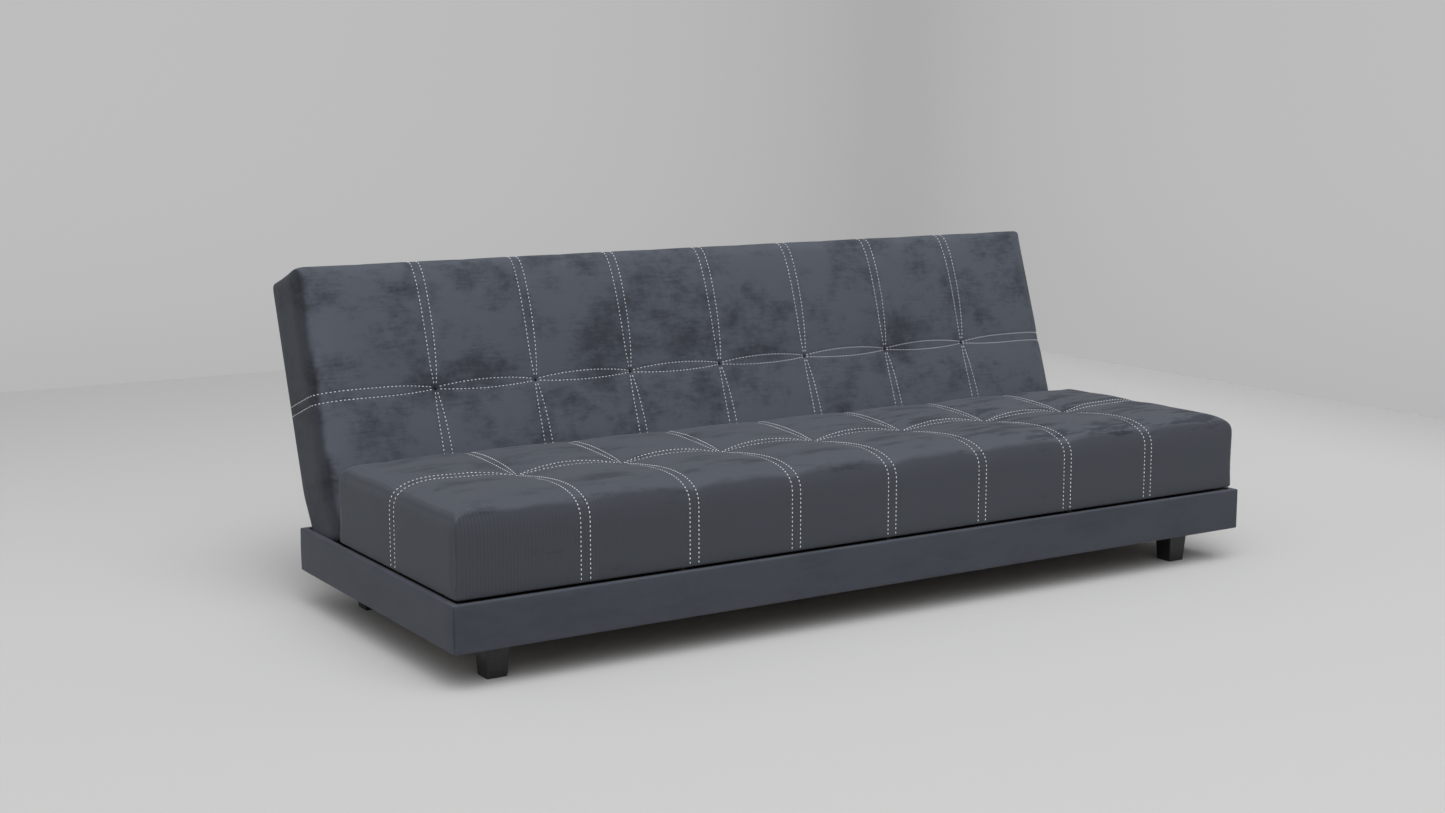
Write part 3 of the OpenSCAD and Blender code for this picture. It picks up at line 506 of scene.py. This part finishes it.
def ring_share(cushion, x, t):
    """How far out on the shoulder plan points lie, where they move to, and the shoulder's curve."""
    u = np.where(
        t < cushion.low_end[0],
        (cushion.low_end[0] - t) / cushion.low_end[0],
        np.clip((t - cushion.length + cushion.high_end[0]) / cushion.high_end[0], 0, 1),
    )
    v = np.clip((np.abs(x) - cushion.half_w + cushion.side[0]) / cushion.side[0], 0, 1)
    m = np.maximum(u, v)
    q = 8 + cushion.corner * m**2
    total = (u**q + v**q) ** (1 / q)
    scale = np.where(total > 1e-9, m / np.maximum(total, 1e-9), 1)
    u2, v2 = u * scale, v * scale
    t2 = np.where(
        t < cushion.low_end[0],
        cushion.low_end[0] * (1 - u2),
        np.where(u > 0, cushion.length - cushion.high_end[0] * (1 - u2), t),
    )
    x2 = np.where(v > 0, np.sign(x) * (cushion.half_w - cushion.side[0] * (1 - v2)), x)
    x2 += np.sign(x) * cushion.bulge * v2 * np.clip((t2 - 40 * MM) / (80 * MM), 0, 1)
    ends = np.where(t < cushion.seam, cushion.low_end[1], cushion.high_end[1])
    blend = u**q + v**q
    sidewise = np.where(blend > 1e-9, v**q / np.maximum(blend, 1e-9), 0)
    drop = ends * (1 - sidewise) + cushion.side[1] * sidewise
    from_seam = nearest_seam(x) * (1 - sidewise) + np.abs(t - cushion.seam) * sidewise
    full = np.clip(from_seam / (90 * MM), 0, 1)
    square = np.where(t < cushion.seam, cushion.low_end[2], cushion.high_end[2])
    square = square * (1 - sidewise) + cushion.side[2] * sidewise
    return m, x2, t2, drop, POWER + square * full * (2 - full)


def skin(cushion):
    """Points and faces of the cushion's cover, open underneath, and which points are sewn."""
    xs, ts = stations(cushion)
    grid_x, grid_t = np.meshgrid(xs, ts, indexing="ij")
    m, x2, t2, drop, power = ring_share(cushion, grid_x, grid_t)
    fade = np.clip(1 - m**1.4, 0, 1)
    top = cushion.height - drop * (1 - np.clip(1 - m**power, 0, 1) ** (1 / power))
    height = top + crown(cushion, x2, t2) * fade
    nx, nt = len(xs), len(ts)
    points = [(x2[i, j], t2[i, j], height[i, j]) for i in range(nx) for j in range(nt)]
    faces = [
        (i * nt + j, (i + 1) * nt + j, (i + 1) * nt + j + 1, i * nt + j + 1)
        for i in range(nx - 1)
        for j in range(nt - 1)
    ]
    from_seam = np.minimum(nearest_seam(grid_x), np.abs(grid_t - cushion.seam))
    held = [bool(near) for near in (from_seam < ROW_HALF + 0.1 * MM).ravel()]
    rim = [i * nt for i in range(nx)]
    rim += [(nx - 1) * nt + j for j in range(1, nt)]
    rim += [i * nt + nt - 1 for i in range(nx - 2, -1, -1)]
    rim += [j for j in range(nt - 2, 0, -1)]
    outline = [(*points[i], held[i]) for i in rim]
    previous, around, r = rim, len(rim), cushion.base_r
    # Rows down the wall and then round its lower edge
    rows = [(1 - k / 8, 0.0) for k in range(1, 9)]
    rows += [(0.0, math.radians(90 * k / 4)) for k in range(1, 5)]
    for share, turn in rows:
        start = len(points)
        inset, below = r * (1 - math.cos(turn)), r * math.sin(turn)
        for x, t, z, sewn in outline:
            points.append((*inward(cushion, x, t, inset), r + (z - r) * share - below))
            held.append(sewn or share < 0.01)
        for i in range(around):
            n = (i + 1) % around
            faces.append((previous[i], previous[n], start + n, start + i))
        previous = list(range(start, start + around))
    return points, faces, held


def inward(cushion, x, t, inset):
    """The plan point moved inwards from the outline by inset."""
    half, mid = cushion.half_w, cushion.length / 2
    return (x * (half - inset) / half, mid + (t - mid) * (mid - inset) / mid)


def into(matrix, points):
    """Points moved into the model's frame."""
    return [tuple(matrix @ Vector(p)) for p in points]


# Share of the puff that the cloth makes, its time steps, and how far it fades at the cross seam
SWELL, SWELL_STEPS, SWELL_FADE = 0.25, 20, 60 * MM


def puffed(form, place_matrix, name, cap):
    """The cushion's cover as an open mesh, blown up by cap at most as cloth held at its seams."""
    full = form.puff
    form.puff = full * (1 - SWELL)
    points, faces, held = skin(form)
    form.puff = full
    mesh = bpy.data.meshes.new(name)
    mesh.from_pydata(into(place_matrix, points), [], faces)
    obj = shown(name, mesh)
    tidy_normals(obj)
    group = obj.vertex_groups.new(name="sewn")
    group.add([i for i, h in enumerate(held) if h], 1.0, "REPLACE")
    before = np.array([v.co for v in mesh.vertices])
    cloth = obj.modifiers.new("cover", "CLOTH")
    cloth.collision_settings.use_collision = False
    fabric = cloth.settings
    fabric.quality = 6
    fabric.mass = 0.4
    fabric.tension_stiffness = fabric.compression_stiffness = 25
    fabric.shear_stiffness = 12
    fabric.bending_stiffness = 2.0
    fabric.tension_damping = fabric.compression_damping = 15
    fabric.vertex_group_mass = "sewn"
    fabric.pin_stiffness = 5
    fabric.use_pressure = True
    fabric.uniform_pressure_force = 4.0
    fabric.shrink_min = -0.004
    fabric.effector_weights.gravity = 0
    for step in range(1, SWELL_STEPS + 1):
        bpy.context.scene.frame_set(step)
    blown = obj.evaluated_get(bpy.context.evaluated_depsgraph_get())
    move = np.array([v.co for v in blown.data.vertices]) - before
    obj.modifiers.remove(cloth)
    bpy.context.scene.frame_set(1)
    reach = np.linalg.norm(move, axis=1)
    from_cross = np.abs(np.array([p[1] for p in points]) - form.seam)
    loose = np.clip((from_cross - ROW_HALF) / SWELL_FADE, 0, 1)
    move *= (cap * np.tanh(reach / cap) * loose / np.maximum(reach, 1e-9))[:, None]
    mesh.vertices.foreach_set("co", (before + move).ravel())
    mesh.update()
    return obj


def bake(obj):
    """Turns what an object's modifiers show into its own mesh."""
    graph = bpy.context.evaluated_depsgraph_get()
    mesh = bpy.data.meshes.new_from_object(obj.evaluated_get(graph))
    obj.modifiers.clear()
    old, obj.data = obj.data, mesh
    bpy.data.meshes.remove(old)


def refine(obj):
    """Subdivides a cover once."""
    smooth = obj.modifiers.new("smooth", "SUBSURF")
    smooth.levels = 1
    smooth.boundary_smooth = "PRESERVE_CORNERS"
    bake(obj)


# Half the gap between two rows at a tie, and the size of a row's groove and of a tie's pit
TIE_ROW_HALF, TIE_CROSS_HALF = 1.2 * MM, 1.0 * MM
GROOVE_W, PIT_R = 2.8 * MM, 6.5 * MM


def row_offset(distance):
    """Half the gap between a short seam's two rows, narrowing towards the tie."""
    return TIE_ROW_HALF + (ROW_HALF - TIE_ROW_HALF) * (1 - np.exp(-distance / 0.05))


def cross_offset(form, x):
    """The same for the cross seam, whose rows bow apart between two ties."""
    lens = np.sin(np.pi * np.clip(nearest_seam(x) / SEAM_PITCH, 0, 0.5))
    at_end = np.clip((np.abs(x) - SEAMS[-1] - SEAM_PITCH / 2) / 0.1, 0, 1)
    half = form.cross_half + (ROW_HALF - form.cross_half) * at_end
    return TIE_CROSS_HALF + (half - TIE_CROSS_HALF) * lens**0.75


def sewn_in(obj, form, place_matrix, groove, pit):
    """Presses the stitch rows and the tie points into the padded surface."""
    mesh = obj.data
    co = np.array([v.co for v in mesh.vertices])
    normal = np.array([v.normal for v in mesh.vertices])
    local = (np.c_[co, np.ones(len(co))] @ np.array(place_matrix.inverted()).T)[:, :3]
    x, t, h = local[:, 0], local[:, 1], local[:, 2]
    d = nearest_seam(x)
    along = np.abs(t - form.seam)
    on_ends = np.abs(x) > form.half_w - 3 * MM
    short = np.exp(-(((d - row_offset(along)) / GROOVE_W) ** 2)) * ~on_ends
    crosswise = np.exp(-(((along - cross_offset(form, x)) / GROOVE_W) ** 2))
    crosswise *= (t > 10 * MM) & (t < form.length - 10 * MM)
    tie = np.exp(-((d**2 + along**2) / PIT_R**2)) * ~on_ends
    depth = groove * np.maximum(short, crosswise) + pit * tie
    depth[h < form.base_r / 2] = 0
    mesh.vertices.foreach_set("co", (co - normal * depth[:, None]).ravel())
    mesh.update()


def closed(obj):
    """Closes the underside of a cover with one flat face."""
    work = bmesh.new()
    work.from_mesh(obj.data)
    border = [e for e in work.edges if e.is_boundary]
    bmesh.ops.holes_fill(work, edges=border, sides=0)
    bmesh.ops.recalc_face_normals(work, faces=work.faces)
    work.to_mesh(obj.data)
    work.free()


def carve(obj, rooms, place_matrix):
    """Cuts rectangular rooms, given as corner pairs in the cushion's own frame, out of it."""
    for low, high in rooms:
        mesh = bpy.data.meshes.new("room")
        work = bmesh.new()
        bmesh.ops.create_cube(work, size=1)
        work.to_mesh(mesh)
        work.free()
        low, high = Vector(low), Vector(high)
        mesh.transform(Matrix.Diagonal((*(high - low), 1)))
        mesh.transform(Matrix.Translation((low + high) / 2))
        mesh.transform(place_matrix)
        cutter = shown("room", mesh)
        cut = obj.modifiers.new("cut", "BOOLEAN")
        cut.operation = "DIFFERENCE"
        cut.solver = "EXACT"
        cut.object = cutter
        bake(obj)
        bpy.data.objects.remove(cutter)


def sewn_cushion(name, form, place_matrix, body, node, velvet, rooms, cap, sewing):
    """Makes a cushion from blank to hollowed and dressed piece; returns the cover's surface."""
    obj = puffed(form, place_matrix, name, cap)
    refine(obj)
    sewn_in(obj, form, place_matrix, *sewing)
    surface = BVHTree.FromObject(obj, bpy.context.evaluated_depsgraph_get())
    closed(obj)
    carve(obj, rooms, place_matrix)
    tidy_normals(obj, 50)
    obj.data.materials.clear()
    obj.data.materials.append(velvet)
    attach(obj, body)
    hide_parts(node)
    return surface


# ---- Seat cushion ----
# Foam on sprung slats under velvet, boxed with soft shoulders on all four sides. It lies just
# above the box and lifts with the seat's frame.

# Its ends and front shares paint shade on the seat's end and front faces
seat_velvet = pile_velvet(
    "velvet, seat", "#53575f", "#3d4149", [167, 55.6, 55.6], [143, 29.4, 16.7], (0.48, 0.68),
    ends=0.31, front=0.41, ribs=0.08, streak_gain=10.0, calm=0.12,
)
SEAT_LOW, SEAT_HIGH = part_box("seat_cushion")
seat_form = Cushion(
    half_w=SEAT_HIGH.x,
    length=SEAT_HIGH.y - SEAT_LOW.y,
    height=SEAT_HIGH.z - SEAT_LOW.z,
    seam=0.288,
    low_end=(0.130, 0.058, 1.2),
    high_end=(0.090, 0.055, 0.0),
    side=(0.120, 0.055, 0.9),
    corner=26,
    bulge=0.0,
    hollow=0.17,
    dip=18 * MM,
    arch=13.5 * MM,
    puff=6.5 * MM,
    fall=5 * MM,
    droop=12 * MM,
    lean=1.6 * MM,
    cross_half=12 * MM,
    base_r=5 * MM,
)
seat_place = Matrix.Translation((0, SEAT_LOW.y, SEAT_LOW.z))
SKIN, CLEAR = 5 * MM, 2 * MM
slats_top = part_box("seat_slats")[1].z
arm_low, arm_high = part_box("seat_right_arm")
inside_x, inside_y = seat_form.half_w - SKIN, seat_form.length - SKIN
NECK_TOP = 38.5 * MM
seat_rooms = [
    ((-inside_x, SKIN, -20 * MM), (inside_x, inside_y, slats_top + CLEAR - SEAT_LOW.z))
]
for side in (-1, 1):
    near, far = sorted((side * (arm_low.x - CLEAR), side * (arm_high.x + CLEAR)))
    slot_low = (near, inside_y - 3 * MM, -10 * MM)
    seat_rooms.append((slot_low, (far, seat_form.length + 10 * MM, NECK_TOP)))
seat_surface = sewn_cushion(
    "seat_cover", seat_form, seat_place, "seat", "seat_cushion", seat_velvet, seat_rooms,
    cap=1.8 * MM, sewing=(1.3 * MM, 1.2 * MM),
)

# ---- Back cushion ----
# The same make on the back's frame, fuller at its face and slimmer at its top edge. Pockets at
# both ends leave room for the ratchet sector and its bracket.

# Its ends and front shares paint shade on the back's end and front faces
back_velvet = pile_velvet(
    "velvet, back", "#565b65", "#3c4048", [143, 143, 125], [38.5, 16.7, 5.88], (0.43, 0.69),
    ends=0.60, front=0.11,
)
# The back's own frame: t runs up its slope from BACK_FOOT and height towards the sitter, with
# the edge of its face BACK_T out and at BACK_EDGE_Y where it passes the box's top
TILT = math.radians(18.9)
BACK_LEN, BACK_T, BACK_FOOT = 588 * MM, 142 * MM, 5 * MM
BACK_EDGE_Y = 137.27 * MM
up_slope = Vector((0, math.sin(TILT), math.cos(TILT)))
out_front = Vector((0, -math.cos(TILT), math.sin(TILT)))
edge_at = Vector((0, BACK_EDGE_Y, BOX_HIGH.z))
back_place = Matrix.Identity(4)
back_place.col[0][:3] = (1, 0, 0)
back_place.col[1][:3] = up_slope
back_place.col[2][:3] = out_front
back_place.col[3][:3] = edge_at - out_front * BACK_T + up_slope * BACK_FOOT
back_form = Cushion(
    half_w=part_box("back_cushion")[1].x,
    length=BACK_LEN - BACK_FOOT,
    height=BACK_T + 25 * MM,
    seam=303 * MM - BACK_FOOT,
    low_end=(0.145, 0.055, 0.5),
    high_end=(0.140, 0.037, 0.5),
    side=(0.140, 0.055, 0.5),
    corner=17,
    bulge=8 * MM,
    hollow=0.14,
    dip=13 * MM,
    arch=9 * MM,
    puff=4 * MM,
    fall=0.0,
    droop=0.0,
    lean=0.0,
    cross_half=10 * MM,
    base_r=5 * MM,
)
SLAT_FACE = 59 * MM
POCKET_X, POCKET_LEN, POCKET_T = (930 * MM, 963 * MM), 213 * MM, BACK_T - 29 * MM
inside_x, inside_t = back_form.half_w - SKIN, back_form.length - SKIN
back_rooms = [((-inside_x, SKIN, -20 * MM), (inside_x, inside_t, SLAT_FACE + CLEAR))]
for side in (-1, 1):
    near, far = sorted(side * x for x in POCKET_X)
    pocket_low = (near, -10 * MM, -30 * MM)
    back_rooms.append((pocket_low, (far, POCKET_LEN - BACK_FOOT, POCKET_T)))
back_surface = sewn_cushion(
    "back_cover", back_form, back_place, "back", "back_cushion", back_velvet, back_rooms,
    cap=1.5 * MM, sewing=(1.2 * MM, 3.5 * MM),
)

# ---- Contrast stitching ----
# Thick off-white polyester thread, two rows to each seam, 9 mm from stitch to stitch. Each
# stitch is a short rounded bead whose ends dive into the velvet.

thread = speckled(
    "spun polyester thread", [1.11] * 3, 2.0, 0.35, 0.65, ("#d6dade", "#eceff2"), 0.1, 0.6,
    Roughness=0.6, IOR=1.5,
)
STITCH_PITCH, STITCH_LEN, STITCH_R = 9 * MM, 4.2 * MM, 0.88 * MM
# Rings of a stitch: share of its length, then girth and lift in thread radii
BEAD = ((0, 0.55, -0.2), (0.15, 0.95, 0.35), (0.5, 1, 0.55), (0.85, 0.95, 0.35), (1, 0.55, -0.2))
BEAD_SIDES = 6
AIM_FROM, AIM_REACH = 80 * MM, 200 * MM


def bead(points, faces, start, end, normal):
    """Adds one stitch between two points of the surface."""
    along = end - start
    length = along.length
    if length < 0.5 * MM:
        return
    along /= length
    side = normal.cross(along).normalized()
    up = along.cross(side)
    first = len(points)
    for share, girth, lift in BEAD:
        mid = start + along * (length * share) + up * (lift * STITCH_R)
        for k in range(BEAD_SIDES):
            a = 2 * math.pi * k / BEAD_SIDES
            points.append(mid + (side * math.cos(a) + up * math.sin(a)) * girth * STITCH_R)
    stack(faces, first, len(BEAD), BEAD_SIDES)


def stack(faces, first, rings, sides):
    """Joins rings of points that follow each other, and closes both ends."""
    for ring in range(rings - 1):
        for k in range(sides):
            n = (k + 1) % sides
            a, b = first + ring * sides, first + (ring + 1) * sides
            faces.append((a + k, a + n, b + n, b + k))
    faces.append(tuple(first + k for k in reversed(range(sides))))
    last = first + (rings - 1) * sides
    faces.append(tuple(last + k for k in range(sides)))


def surface_point(surface, matrix, local, aim):
    """Where a ray towards the cushion's middle meets its cover, with the normal there."""
    origin = matrix @ Vector(local)
    direction = (matrix.to_3x3() @ Vector(aim)).normalized()
    start = origin - direction * AIM_FROM
    hit, normal, _, _ = surface.ray_cast(start, direction, AIM_REACH)
    return hit, normal


def stitch_row(points, faces, surface, matrix, samples, ties, clear):
    """Lays stitches of even pitch along a row of (local point, aim) samples, clear of the ties."""
    found = [surface_point(surface, matrix, p, a) for p, a in samples]
    found = [(h, n) for h, n in found if h is not None]
    line = np.array([h for h, _ in found])
    normals = np.array([n for _, n in found])
    steps = np.r_[0, np.cumsum(np.linalg.norm(np.diff(line, axis=0), axis=1))]
    at = STITCH_PITCH / 2
    while at + STITCH_LEN < steps[-1]:
        ends = [
            Vector([np.interp(at + s, steps, line[:, k]) for k in range(3)])
            for s in (0, STITCH_LEN)
        ]
        normal = Vector([np.interp(at + STITCH_LEN / 2, steps, normals[:, k]) for k in range(3)])
        middle = (ends[0] + ends[1]) / 2
        if min((middle - tie).length for tie in ties) > clear:
            bead(points, faces, ends[0], ends[1], normal.normalized())
        at += STITCH_PITCH


def shoulder_curve(width, drop):
    """Points up a rounded shoulder: how far in, how far up and the slope's angle there."""
    for a in np.radians(np.linspace(3, 87, 60)):
        yield width * (1 - math.cos(a) ** (2 / POWER)), drop * math.sin(a) ** (2 / POWER), a


def section_samples(form, x_of):
    """Samples of a short row: up the low wall, across the face, down the high wall."""
    samples = []
    wall_top = form.height - form.low_end[1]
    for z in np.linspace(2 * MM, wall_top, 40):
        samples.append(((x_of(0.0), 0.0, z), (0, 1, 0)))
    for t, rise, a in shoulder_curve(*form.low_end[:2]):
        samples.append(((x_of(t), t, wall_top + rise), (0, math.cos(a), -math.sin(a))))
    for t in np.linspace(form.low_end[0], form.length - form.high_end[0], 180)[1:-1]:
        samples.append(((x_of(t), t, form.height), (0, 0, -1)))
    wall_top = form.height - form.high_end[1]
    for inset, rise, a in reversed(list(shoulder_curve(*form.high_end[:2]))):
        t = form.length - inset
        samples.append(((x_of(t), t, wall_top + rise), (0, -math.cos(a), -math.sin(a))))
    for z in np.linspace(wall_top, 2 * MM, 40):
        samples.append(((x_of(form.length), form.length, z), (0, -1, 0)))
    return samples


def cross_samples(form, side):
    """Samples of one row of the cross seam: up one end, along the face and down the other."""
    wall_top = form.height - form.side[1]

    def t_at(x):
        return form.seam + side * float(cross_offset(form, np.array([x]))[0])

    ends = []
    for end in (-1, 1):
        x = end * form.half_w
        part = [((x, t_at(x), z), (-end, 0, 0)) for z in np.linspace(2 * MM, wall_top, 40)]
        for inset, rise, a in shoulder_curve(*form.side[:2]):
            x = end * (form.half_w - inset)
            aim = (-end * math.cos(a), 0, -math.sin(a))
            part.append(((x, t_at(x), wall_top + rise), aim))
        ends.append(part)
    inner = form.half_w - form.side[0]
    face = [((x, t_at(x), form.height), (0, 0, -1)) for x in np.linspace(-inner, inner, 700)[1:-1]]
    return ends[0] + face + ends[1][::-1]


def tie_points(form, surface, matrix):
    """Where the cover is tied down: the crossings of its seams."""
    return [
        surface_point(surface, matrix, (s, form.seam, form.height), (0, 0, -1))[0] for s in SEAMS
    ]


def stitching(name, form, surface, matrix, body, clear):
    """All the stitches of one cushion as a single piece, none within clear of a tie."""
    points, faces = [], []
    ties = tie_points(form, surface, matrix)
    for s in SEAMS:
        for k in (-1, 1):

            def x_of(t, s=s, k=k):
                return s + k * float(row_offset(np.array([abs(t - form.seam)]))[0])

            samples = section_samples(form, x_of)
            stitch_row(points, faces, surface, matrix, samples, ties, clear)
    for k in (-1, 1):
        stitch_row(points, faces, surface, matrix, cross_samples(form, k), ties, clear)
    piece(name, points, faces, body, thread)


stitching("seat_stitching", seat_form, seat_surface, seat_place, "seat", 3 * MM)
stitching("back_stitching", back_form, back_surface, back_place, "back", 7 * MM)

# ---- Tie knots ----
# Waxed black cord drawn through the back from behind and wound to a flat knot at each crossing
# of its seams. The seat's ties are hidden in its folds.

cord = speckled(
    "waxed black tie cord", [1.11] * 3, 2.0, 0.35, 0.65, ("#050505", "#0e0e0f"), 0.1, 0.6,
    Roughness=0.55, IOR=1.5,
)
KNOT_R, KNOT_H, KNOT_SIDES = 3.7 * MM, 3.6 * MM, 12
# Rings of a knot: share of its radius and share of its height
KNOT = ((0.7, -0.6), (1.0, 0.1), (0.85, 0.6), (0.45, 0.95))
points, faces = [], []
for middle in tie_points(back_form, back_surface, back_place):
    first = len(points)
    for share, height in KNOT:
        for k in range(KNOT_SIDES):
            a = 2 * math.pi * k / KNOT_SIDES
            spoke = Vector((math.cos(a), 0, 0)) + up_slope * math.sin(a)
            points.append(middle + spoke * share * KNOT_R + out_front * height * KNOT_H)
    stack(faces, first, len(KNOT), KNOT_SIDES)
piece("back_ties", points, faces, "back", cord)

# ---- Studio ----
# A plain pale room with a floor and two walls that meet behind the sofa. Broad soft light
# falls from above and in front, a little from the left.

CAMERA_AT = (-2.469, -3.7034, 1.108)
CAMERA_TURN = (80.82, 0, -32.23)
LAMP_AT = (-0.3, -3.8, 4.2)
WALL_Y, WALL_X, FLOOR_REACH, WALL_HIGH, COVE, BEND = 4.2, 3.53, 9.0, 6.0, 0.45, 0.25


def room():
    """Both walls as one sheet with a rounded corner and foot, and the floor."""
    profile = []
    for i in range(13):
        a = math.radians(90 * i / 12)
        profile.append((COVE * (math.sin(a) - 1), COVE * (1 - math.cos(a))))
    profile.append((0.0, WALL_HIGH))
    plan = [((-FLOOR_REACH, WALL_Y), (0, 1))]
    for i in range(9):
        a = math.radians(90 - 90 * i / 8)
        out = (math.cos(a), math.sin(a))
        plan.append(((WALL_X - BEND + BEND * out[0], WALL_Y - BEND + BEND * out[1]), out))
    plan.append(((WALL_X, -FLOOR_REACH), (1, 0)))
    work = bmesh.new()
    strips = [
        [work.verts.new((px + nx * d, py + ny * d, z)) for d, z in profile]
        for (px, py), (nx, ny) in plan
    ]
    for a, b in zip(strips, strips[1:]):
        for i in range(len(a) - 1):
            work.faces.new((a[i], b[i], b[i + 1], a[i + 1]))
    mesh = bpy.data.meshes.new("room_walls")
    work.to_mesh(mesh)
    work.free()
    mesh.shade_smooth()
    floor_mesh = bpy.data.meshes.new("room_floor")
    low = (-FLOOR_REACH, -FLOOR_REACH, 0)
    corners = [low, (WALL_X, -FLOOR_REACH, 0), (WALL_X, WALL_Y, 0), (-FLOOR_REACH, WALL_Y, 0)]
    floor_mesh.from_pydata(corners, [], [(0, 1, 2, 3)])
    return shown("room_walls", mesh), shown("room_floor", floor_mesh)


walls, floor = room()


def fade(tree, direction, offset, reach):
    """A share that falls off exponentially over reach metres, measured along direction."""
    spot = add(tree, "TexCoord").outputs["Object"]
    along = add(tree, "VectorMath", {0: spot, 1: direction}, operation="DOT_PRODUCT")
    span = {0: along.outputs["Value"], 1: 1 / reach, 2: offset / reach}
    scaled = add(tree, "Math", span, operation="MULTIPLY_ADD")
    return add(tree, "Math", {0: scaled.outputs[0]}, operation="EXPONENT").outputs[0]


def looked_at(tree):
    """One for rays from the eye, straight or by way of a mirror or glass, and nought for light."""
    path = add(tree, "LightPath").outputs
    direct = {0: path["Is Camera Ray"], 1: path["Is Glossy Ray"]}
    direct = add(tree, "Math", direct, operation="MAXIMUM").outputs[0]
    through = {0: direct, 1: path["Is Transmission Ray"]}
    return add(tree, "Math", through, operation="MAXIMUM").outputs[0]


def one_sided(tree, surface):
    """Shows a surface from the room's side only, so that it hides nothing from outside."""
    rear = add(tree, "NewGeometry").outputs["Backfacing"]
    seen = add(tree, "LightPath").outputs["Is Camera Ray"]
    gone = add(tree, "Math", {0: rear, 1: seen}, operation="MULTIPLY").outputs[0]
    clear = add(tree, "BsdfTransparent").outputs[0]
    mixed = add(tree, "MixShader", {0: gone, 1: surface, 2: clear})
    tree.links.new(mixed.outputs[0], tree.nodes["Material Output"].inputs["Surface"])


wall_paint, tree, shader = finish_named("matt wall paint", Roughness=1.0, Specular_IOR_Level=0.0)
# Painted shade: the walls turn darker towards their corner and towards their foot
corner = fade(tree, (1, 1, 0), -(WALL_X + WALL_Y), 1.15)
base = fade(tree, (0, 0, -1), 0, 0.3)
shares = add(tree, "Math", {0: base, 1: 0.35, 2: corner}, operation="MULTIPLY_ADD")
tone = between(tree, shares.outputs[0], 0.0, 1.0, ("#bebebe", "#a9a9a9"), "LINEAR")
tree.links.new(tone, shader.inputs["Base Color"])
seen = add(tree, "Emission", {"Color": tone, "Strength": 1.0})
mixed = add(tree, "MixShader", {0: looked_at(tree), 1: shader.outputs[0], 2: seen.outputs[0]})
one_sided(tree, mixed.outputs[0])
walls.data.materials.append(wall_paint)
floor_paint, tree, shader = finish_named("matt floor paint", Roughness=1.0, Specular_IOR_Level=0.0)
spot = add(tree, "SeparateXYZ", {0: add(tree, "TexCoord").outputs["Object"]}).outputs
# Painted shade: the floor turns darker towards the right and rear walls, which cast no shadow
# themselves
off_right, off_rear = (
    add(
        tree,
        "MapRange",
        {"Value": spot[axis], "From Min": wall, "From Max": wall - reach},
        interpolation_type="SMOOTHSTEP",
    ).outputs[0]
    for axis, wall, reach in ((0, WALL_X, 1.4), (1, WALL_Y, 4.0))
)
clear = add(tree, "Math", {0: off_right, 1: off_rear}, operation="MINIMUM").outputs[0]
tone = between(tree, clear, 0.0, 1.0, ("#bababa", "#d1d1d1"), "LINEAR")
tree.links.new(tone, shader.inputs["Base Color"])
one_sided(tree, shader.outputs[0])
floor.data.materials.append(floor_paint)
walls.visible_diffuse = walls.visible_shadow = False

softbox = bpy.data.lights.new("overhead", "AREA")
softbox.shape = "SQUARE"
softbox.size = 4.0
softbox.energy = 35
overhead = shown("overhead", softbox)
overhead.location = LAMP_AT
overhead.rotation_euler = (-Vector(LAMP_AT)).to_track_quat("-Z", "Y").to_euler()
world = bpy.data.worlds.new("studio air")
world.use_nodes = True
air = world.node_tree
way = add(air, "TexCoord").outputs["Generated"]
# Two soft lobes of light, each with its direction, how narrow it is and its level
LOBES = (((-0.2, -0.52, 0.83), 10.0, 4.42), ((-1, 0, 0.1), 2.0, 0.3))
level = 0.22
for aim, power, most in LOBES:
    facing = add(air, "VectorMath", {0: way, 1: aim}, operation="DOT_PRODUCT").outputs["Value"]
    front = add(air, "Math", {0: facing, 1: 0.0}, operation="MAXIMUM").outputs[0]
    lobe = add(air, "Math", {0: front, 1: power}, operation="POWER").outputs[0]
    level = add(air, "Math", {0: lobe, 1: most, 2: level}, operation="MULTIPLY_ADD").outputs[0]
light = add(air, "Background", {"Color": (1, 1, 1, 1), "Strength": level})
plain = add(air, "Background", {"Color": linear("#bebebe"), "Strength": 1.0})
mixed = add(air, "MixShader", {0: looked_at(air), 1: light.outputs[0], 2: plain.outputs[0]})
air.links.new(mixed.outputs[0], air.nodes["World Output"].inputs["Surface"])
bpy.context.scene.world = world

view = bpy.data.cameras.new("camera")
view.lens = 50
view.sensor_width = 36
camera = shown("camera", view)
camera.location = CAMERA_AT
camera.rotation_euler = [math.radians(a) for a in CAMERA_TURN]
bpy.context.scene.camera = camera
bpy.context.scene.view_settings.view_transform = "Standard"
